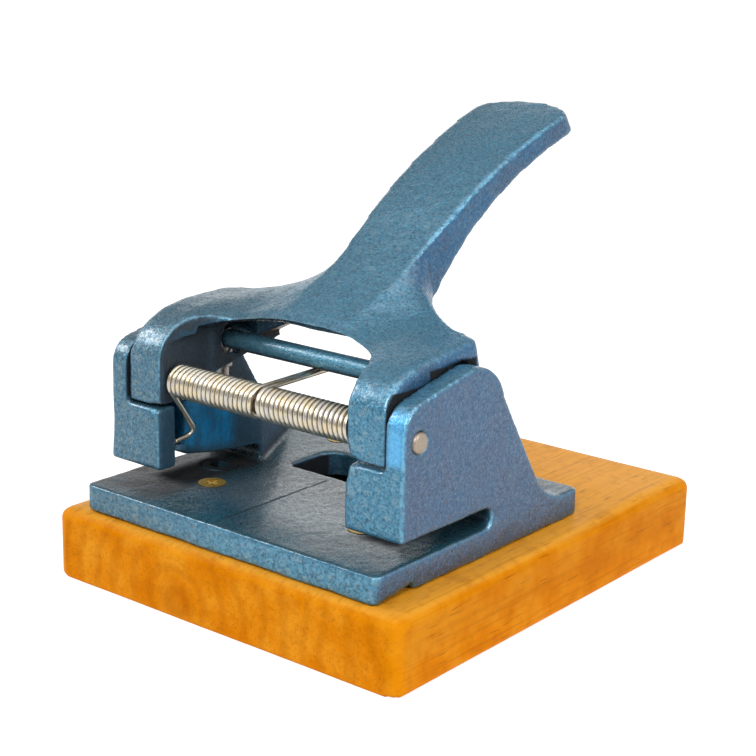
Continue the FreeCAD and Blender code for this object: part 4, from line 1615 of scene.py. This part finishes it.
@dataclass
class ReturnSpring:
    """The double torsion spring on the pivot pin, with a loop under the cross rod and two hooked legs."""

    node: str = "return_spring"
    piece: str = "zinc_spring"
    pivot_y: float = -56.6
    pivot_z: float = 63.55
    rod_reach: float = 22.9
    rod_rise: float = 8.55
    rod_radius: float = 3.0
    wire: float = 1.5
    radius: float = 4.42
    pitch: float = 1.79
    turns: int = 18
    loop_half_width: float = 1.15
    loop_overhang: float = 4.0
    leg_drop: float = 53.0
    leg_length: float = 16.0
    hook_heading: Point = (0.27, -0.93, -0.25)
    hook_bend: float = 2.2
    ease_bend: float = 20.0
    column_rear: float = -56.5
    gap: float = 0.05
    steps: int = 40
    sides: int = 14
    blend_start: Point = (0.0, -50.0, 66.0)
    blend_end: Point = (0.0, -36.0, 66.0)

    def on_coil(self, turn: float, along: float) -> Vector:
        """Give the right coil's middle line at an angle round the pin and a place along it."""
        rear = self.pivot_y + self.radius * math.cos(turn)
        return Vector((along, rear, self.pivot_z + self.radius * math.sin(turn)))

    def heading(self, turn: float) -> Vector:
        """Give the wire's direction on the right coil at an angle round the pin."""
        climb = self.pitch / (2.0 * math.pi)
        return Vector((climb, -self.radius * math.sin(turn), self.radius * math.cos(turn)))

    def right_half(self) -> list[Vector]:
        """Lay the wire from the loop's middle to the right leg's end.

        Returns:
            The points of the middle line.
        """
        drop = self.rod_rise - self.rod_radius - self.wire / 2 - self.gap
        contact = math.atan2(drop, self.rod_reach)
        loop_turn = contact + math.acos(self.radius / math.hypot(self.rod_reach, drop))
        leg_turn = math.radians(270.0 - self.leg_drop)
        sweep = 2.0 * math.pi * self.turns + leg_turn - loop_turn
        strand = Vector((0.0, math.sin(loop_turn), -math.cos(loop_turn)))
        loop = WireLine(self.on_coil(loop_turn, self.loop_half_width), -self.heading(loop_turn))
        loop.bend(strand, self.ease_bend)
        loop.straight(self.rod_reach + self.loop_overhang - loop.here.y + self.pivot_y)
        loop.bend(Vector((-1.0, 0.0, 0.0)), loop.here.x)
        points = loop.points[::-1]
        count = round(sweep / (2.0 * math.pi) * self.steps)
        for step in range(1, count + 1):
            turn = sweep * step / count
            along = self.loop_half_width + self.pitch * turn / (2.0 * math.pi)
            points.append(self.on_coil(loop_turn + turn, along))
        leg = WireLine(points[-1], self.heading(leg_turn)).straight(self.leg_length)
        leg.bend(Vector(self.hook_heading), self.hook_bend)
        rest = leg.here.y - self.column_rear - self.wire / 2 - self.gap
        leg.straight(rest / -leg.heading.y)
        return points + leg.points[1:]

    def middle_line(self) -> list[Vector]:
        """Lay the whole wire, from the left leg's end to the right leg's.

        Returns:
            The points of the middle line.
        """
        right = self.right_half()
        left = [Vector((-point.x, point.y, point.z)) for point in right[1:]]
        return left[::-1] + right

    def sweep(self, line: Sequence[Vector]) -> bpy.types.Mesh:
        """Make a round wire along a line.

        Args:
            line: The middle line.

        Returns:
            The wire's mesh.
        """
        rings = []
        side = Vector((0.0, 0.0, 1.0))
        for place, point in enumerate(line):
            before = line[max(place - 1, 0)]
            after = line[min(place + 1, len(line) - 1)]
            heading = (after - before).normalized()
            side = (side - heading * side.dot(heading)).normalized()
            other = heading.cross(side)
            ring = []
            for step in range(self.sides):
                turn = 2.0 * math.pi * step / self.sides
                offset = (side * math.cos(turn) + other * math.sin(turn)) * (self.wire / 2)
                ring.append((point + offset) * MM)
            rings.append(ring)
        return tube(self.piece, rings)

    def build(self, finish: bpy.types.Material) -> bpy.types.Object:
        """Make the spring and dress it.

        Args:
            finish: The material.

        Returns:
            The finished piece.
        """
        mesh = self.sweep(self.middle_line())
        mesh.materials.append(finish)
        piece = placed(self.piece, mesh)
        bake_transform(piece)
        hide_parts(self.node)
        log.info("%s: %d faces", piece.name, len(mesh.polygons))
        return piece


@dataclass(frozen=True)
class SoftBox:
    """One soft lamp."""

    name: str
    place: Point
    width: float
    power: float


@dataclass
class Studio:
    """The floor, the soft light and the camera."""

    aim: Point = (0.0, 0.0, 0.06)
    eye: Point = (0.30953, -0.39228, 0.19722)
    forward: Point = (-0.60188, 0.75298, -0.26602)
    roll: float = 1.225
    lens: float = 79.6
    ambient: float = 0.5
    dim: float = 0.22
    backdrop: Point = (-0.62, 0.78, 0.0)
    overhead: float = 1.3
    floor_seen: float = 0.62
    floor_mirrored: float = 0.3
    floor_reach: float = 12.0
    floor_colour: Colour = (0.86, 0.86, 0.86)
    floor_roughness: float = 0.9
    wall_behind: Band = (-0.25, 0.35)
    wall_rise: Band = (0.6, 0.25)
    above_front: Band = (0.7, -0.1)
    above_rise: Band = (0.3, 0.7)
    lamps: Sequence[SoftBox] = (
        SoftBox("key_lamp", (0.45, -0.95, 0.9), 0.45, 5.6),
        SoftBox("left_lamp", (-0.95, -0.55, 0.7), 0.5, 4.0),
        SoftBox("right_lamp", (1.1, 0.1, 0.5), 0.5, 4.0),
    )

    def floor(self) -> None:
        """Lay a white floor that keeps a soft shadow."""
        mesh = bpy.data.meshes.new("floor")
        reach = self.floor_reach
        places = [(-reach, -reach, 0.0), (reach, -reach, 0.0), (reach, reach, 0.0), (-reach, reach, 0.0)]
        mesh.from_pydata(places, [], [(0, 1, 2, 3)])
        floor = placed("floor", mesh)
        material, graph, shader = new_material("white_floor")
        path = graph.add("ShaderNodeLightPath")
        seen = graph.times(path.outputs["Is Camera Ray"], self.floor_seen)
        mirrored = graph.times(path.outputs["Is Glossy Ray"], self.floor_mirrored)
        finish_with(graph, shader, {
            "Base Color": self.floor_colour, "Roughness": self.floor_roughness, "Specular IOR Level": 0.0,
            "Emission Color": (1.0, 1.0, 1.0), "Emission Strength": graph.plus(seen, mirrored),
        })
        mesh.materials.append(material)

    def sky(self) -> None:
        """Light the scene evenly, with a white background where it is seen."""
        world = bpy.data.worlds.new("studio")
        bpy.context.scene.world = world
        world.use_nodes = True
        world.node_tree.nodes.clear()
        graph = Graph(world.node_tree)
        path = graph.add("ShaderNodeLightPath")
        heading = graph.add("ShaderNodeTexCoord").outputs["Generated"]
        behind = graph.toward(heading, self.backdrop)
        rise = graph.axes(heading)[2]
        wall = graph.times(graph.step(behind, *self.wall_behind), graph.step(rise, *self.wall_rise))
        above = graph.times(graph.step(behind, *self.above_front), graph.step(rise, *self.above_rise))
        bright = graph.most(wall, graph.times(above, self.overhead))
        mirrored = graph.rising(self.dim, bright, 1.0 - self.dim)
        mirrors = graph.most(path.outputs["Is Glossy Ray"], path.outputs["Is Transmission Ray"])
        strength = graph.plus(self.ambient, graph.times(mirrors, graph.less(mirrored, self.ambient)))
        open_share = graph.less(1.0, strength)
        strength = graph.plus(strength, graph.times(path.outputs["Is Camera Ray"], open_share))
        light = graph.add("ShaderNodeBackground", {"Color": (1.0, 1.0, 1.0), "Strength": strength})
        leaving = graph.add("ShaderNodeOutputWorld")
        graph.feed(leaving.inputs["Surface"], light.outputs[0])

    def light(self) -> None:
        """Hang the soft lamps."""
        for box in self.lamps:
            lamp = bpy.data.lights.new(box.name, "AREA")
            lamp.shape = "DISK"
            lamp.size = box.width
            lamp.energy = box.power
            holder = placed(box.name, lamp)
            holder.location = box.place
            heading = Vector(self.aim) - Vector(box.place)
            holder.rotation_euler = heading.to_track_quat("-Z", "Y").to_euler()

    def camera(self) -> None:
        """Stand the camera at the photograph's viewing angle."""
        forward = Vector(self.forward).normalized()
        right = forward.cross(Vector((0.0, 0.0, 1.0))).normalized()
        up = right.cross(forward)
        turn = math.radians(self.roll)
        level = right * math.cos(turn) + up * math.sin(turn)
        upright = up * math.cos(turn) - right * math.sin(turn)
        data = bpy.data.cameras.new("camera")
        data.sensor_width = 36.0
        data.sensor_fit = "HORIZONTAL"
        data.lens = self.lens
        data.clip_start = 0.01
        camera = placed("camera", data)
        pose = Matrix((level, upright, -forward)).transposed().to_4x4()
        pose.translation = Vector(self.eye)
        camera.matrix_world = pose
        bpy.context.scene.camera = camera

    def build(self) -> None:
        """Set up the whole studio."""
        self.floor()
        self.sky()
        self.light()
        self.camera()
        bpy.context.scene.view_settings.view_transform = "Standard"


def dress_nodes(nodes: Sequence[str], finish: bpy.types.Material) -> None:
    """Give nodes of the frame that stay in sight a material.

    Args:
        nodes: Their names.
        finish: The material.
    """
    for name in nodes:
        mesh = bpy.data.objects[name].data
        mesh.materials.clear()
        mesh.materials.append(finish)
        log.info("%s: finished as %s", name, finish.name)


def main() -> None:
    """Build and dress every piece of the punch."""
    logging.basicConfig(level=logging.INFO, format="%(name)s %(message)s")
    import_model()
    # boxes painted near black as shade: the gaps beside the arms, the plate's window, the throat slot and
    # the shadow under the guides round the dies
    cheek_gap = ((48.9, -67.0, 57.0), (50.0, -20.0, 77.0), 0.4)
    window = ((-1.0, -25.0, 18.0), (27.0, 5.0, 29.6), 0.4)
    slot = ((46.0, -61.0, 31.4), (55.3, -22.0, 38.0), 0.4)
    dies = ((33.0, -54.0, 12.0), (47.0, -30.0, 33.0), 3.0)
    # box of the painted highlight on each cheek's nose
    nose = ((50.5, -66.0, 58.0), (56.5, -59.0, 73.0), 1.5)
    # box of the painted highlight on each punch guide
    guide = ((30.0, -54.0, 39.0), (48.0, -33.0, 56.0), 2.5)
    casting_paint = Enamel(
        "casting_enamel", plate=True, inward_shade_share=0.8, inside=(0.02, 0.075, 0.12), inside_flake=0.5,
        gaps=(cheek_gap, window, slot, dies), highlight_zones=(nose,), guides=(guide,),
    ).material()
    BaseCasting().build(casting_paint)
    # boxes painted near black as shade beside the lever's arms and under its wings
    arm_gap = ((48.3, -68.0, 50.0), (50.0, -20.0, 76.0), 0.4)
    wing_gap = ((46.5, -44.0, 74.0), (50.0, -22.0, 79.4), 0.5)
    # the lever has its own darker colours for the painted side shade
    lever_paint = Enamel(
        "lever_enamel", side=(0.012, 0.1, 0.25), purple=(0.034, 0.06, 0.14), gaps=(arm_gap, wing_gap),
    )
    LeverCasting().build(lever_paint.material())
    WoodBlock().build(VarnishedWood("amber_board").material())
    zinc = BareMetal(
        "zinc_wire", metal=(0.7, 0.66, 0.55), warm=(0.76, 0.63, 0.41), cool=(0.56, 0.54, 0.6),
        dull=(0.52, 0.46, 0.36), polish=0.28, grain=0.5, relief=0.01,
    )
    ReturnSpring().build(zinc.material())
    steel = BareMetal(
        "turned_steel", metal=(0.44, 0.37, 0.3), warm=(0.47, 0.37, 0.26), cool=(0.4, 0.36, 0.32),
        dull=(0.26, 0.2, 0.13), polish=0.42,
    )
    pin_profile = ((-56.55, 2.2), (-56.5, 2.6), (-56.1, 3.0), (56.1, 3.0), (56.5, 2.6), (56.55, 2.2))
    TurnedPiece("pivot_pin", "steel_pivot_pin", Body.BASE, Slot.PIN, pin_profile).build(steel.material())
    tool = BareMetal(
        "tool_steel_oiled", metal=(0.3, 0.29, 0.27), warm=(0.34, 0.28, 0.2), cool=(0.26, 0.27, 0.3),
        dull=(0.1, 0.09, 0.08), polish=0.3,
    )
    dress_nodes(("punch_left", "punch_right"), tool.material())
    dress_nodes(("die_bush_left", "die_bush_right"), casting_paint)
    brass = BareMetal(
        "yellow_screw", metal=(0.58, 0.36, 0.05), warm=(0.8, 0.48, 0.07), cool=(1.0, 0.76, 0.24),
        dull=(0.08, 0.045, 0.01), polish=0.3, patch=2.0, bare=0.5, recess_highlight=(1.0, 0.86, 0.4),
    )
    screws = [f"screw_{row}_{side}" for row in ("front", "rear") for side in ("left", "right")]
    dress_nodes(screws, brass.material())
    rod_paint = Enamel("rod_paint", paint=(0.1, 0.34, 0.5), pull=0.05, speckle=0.5)
    dress_nodes(("cross_rod",), rod_paint.material())
    Studio().build()


if __name__ == "__main__":
    main()
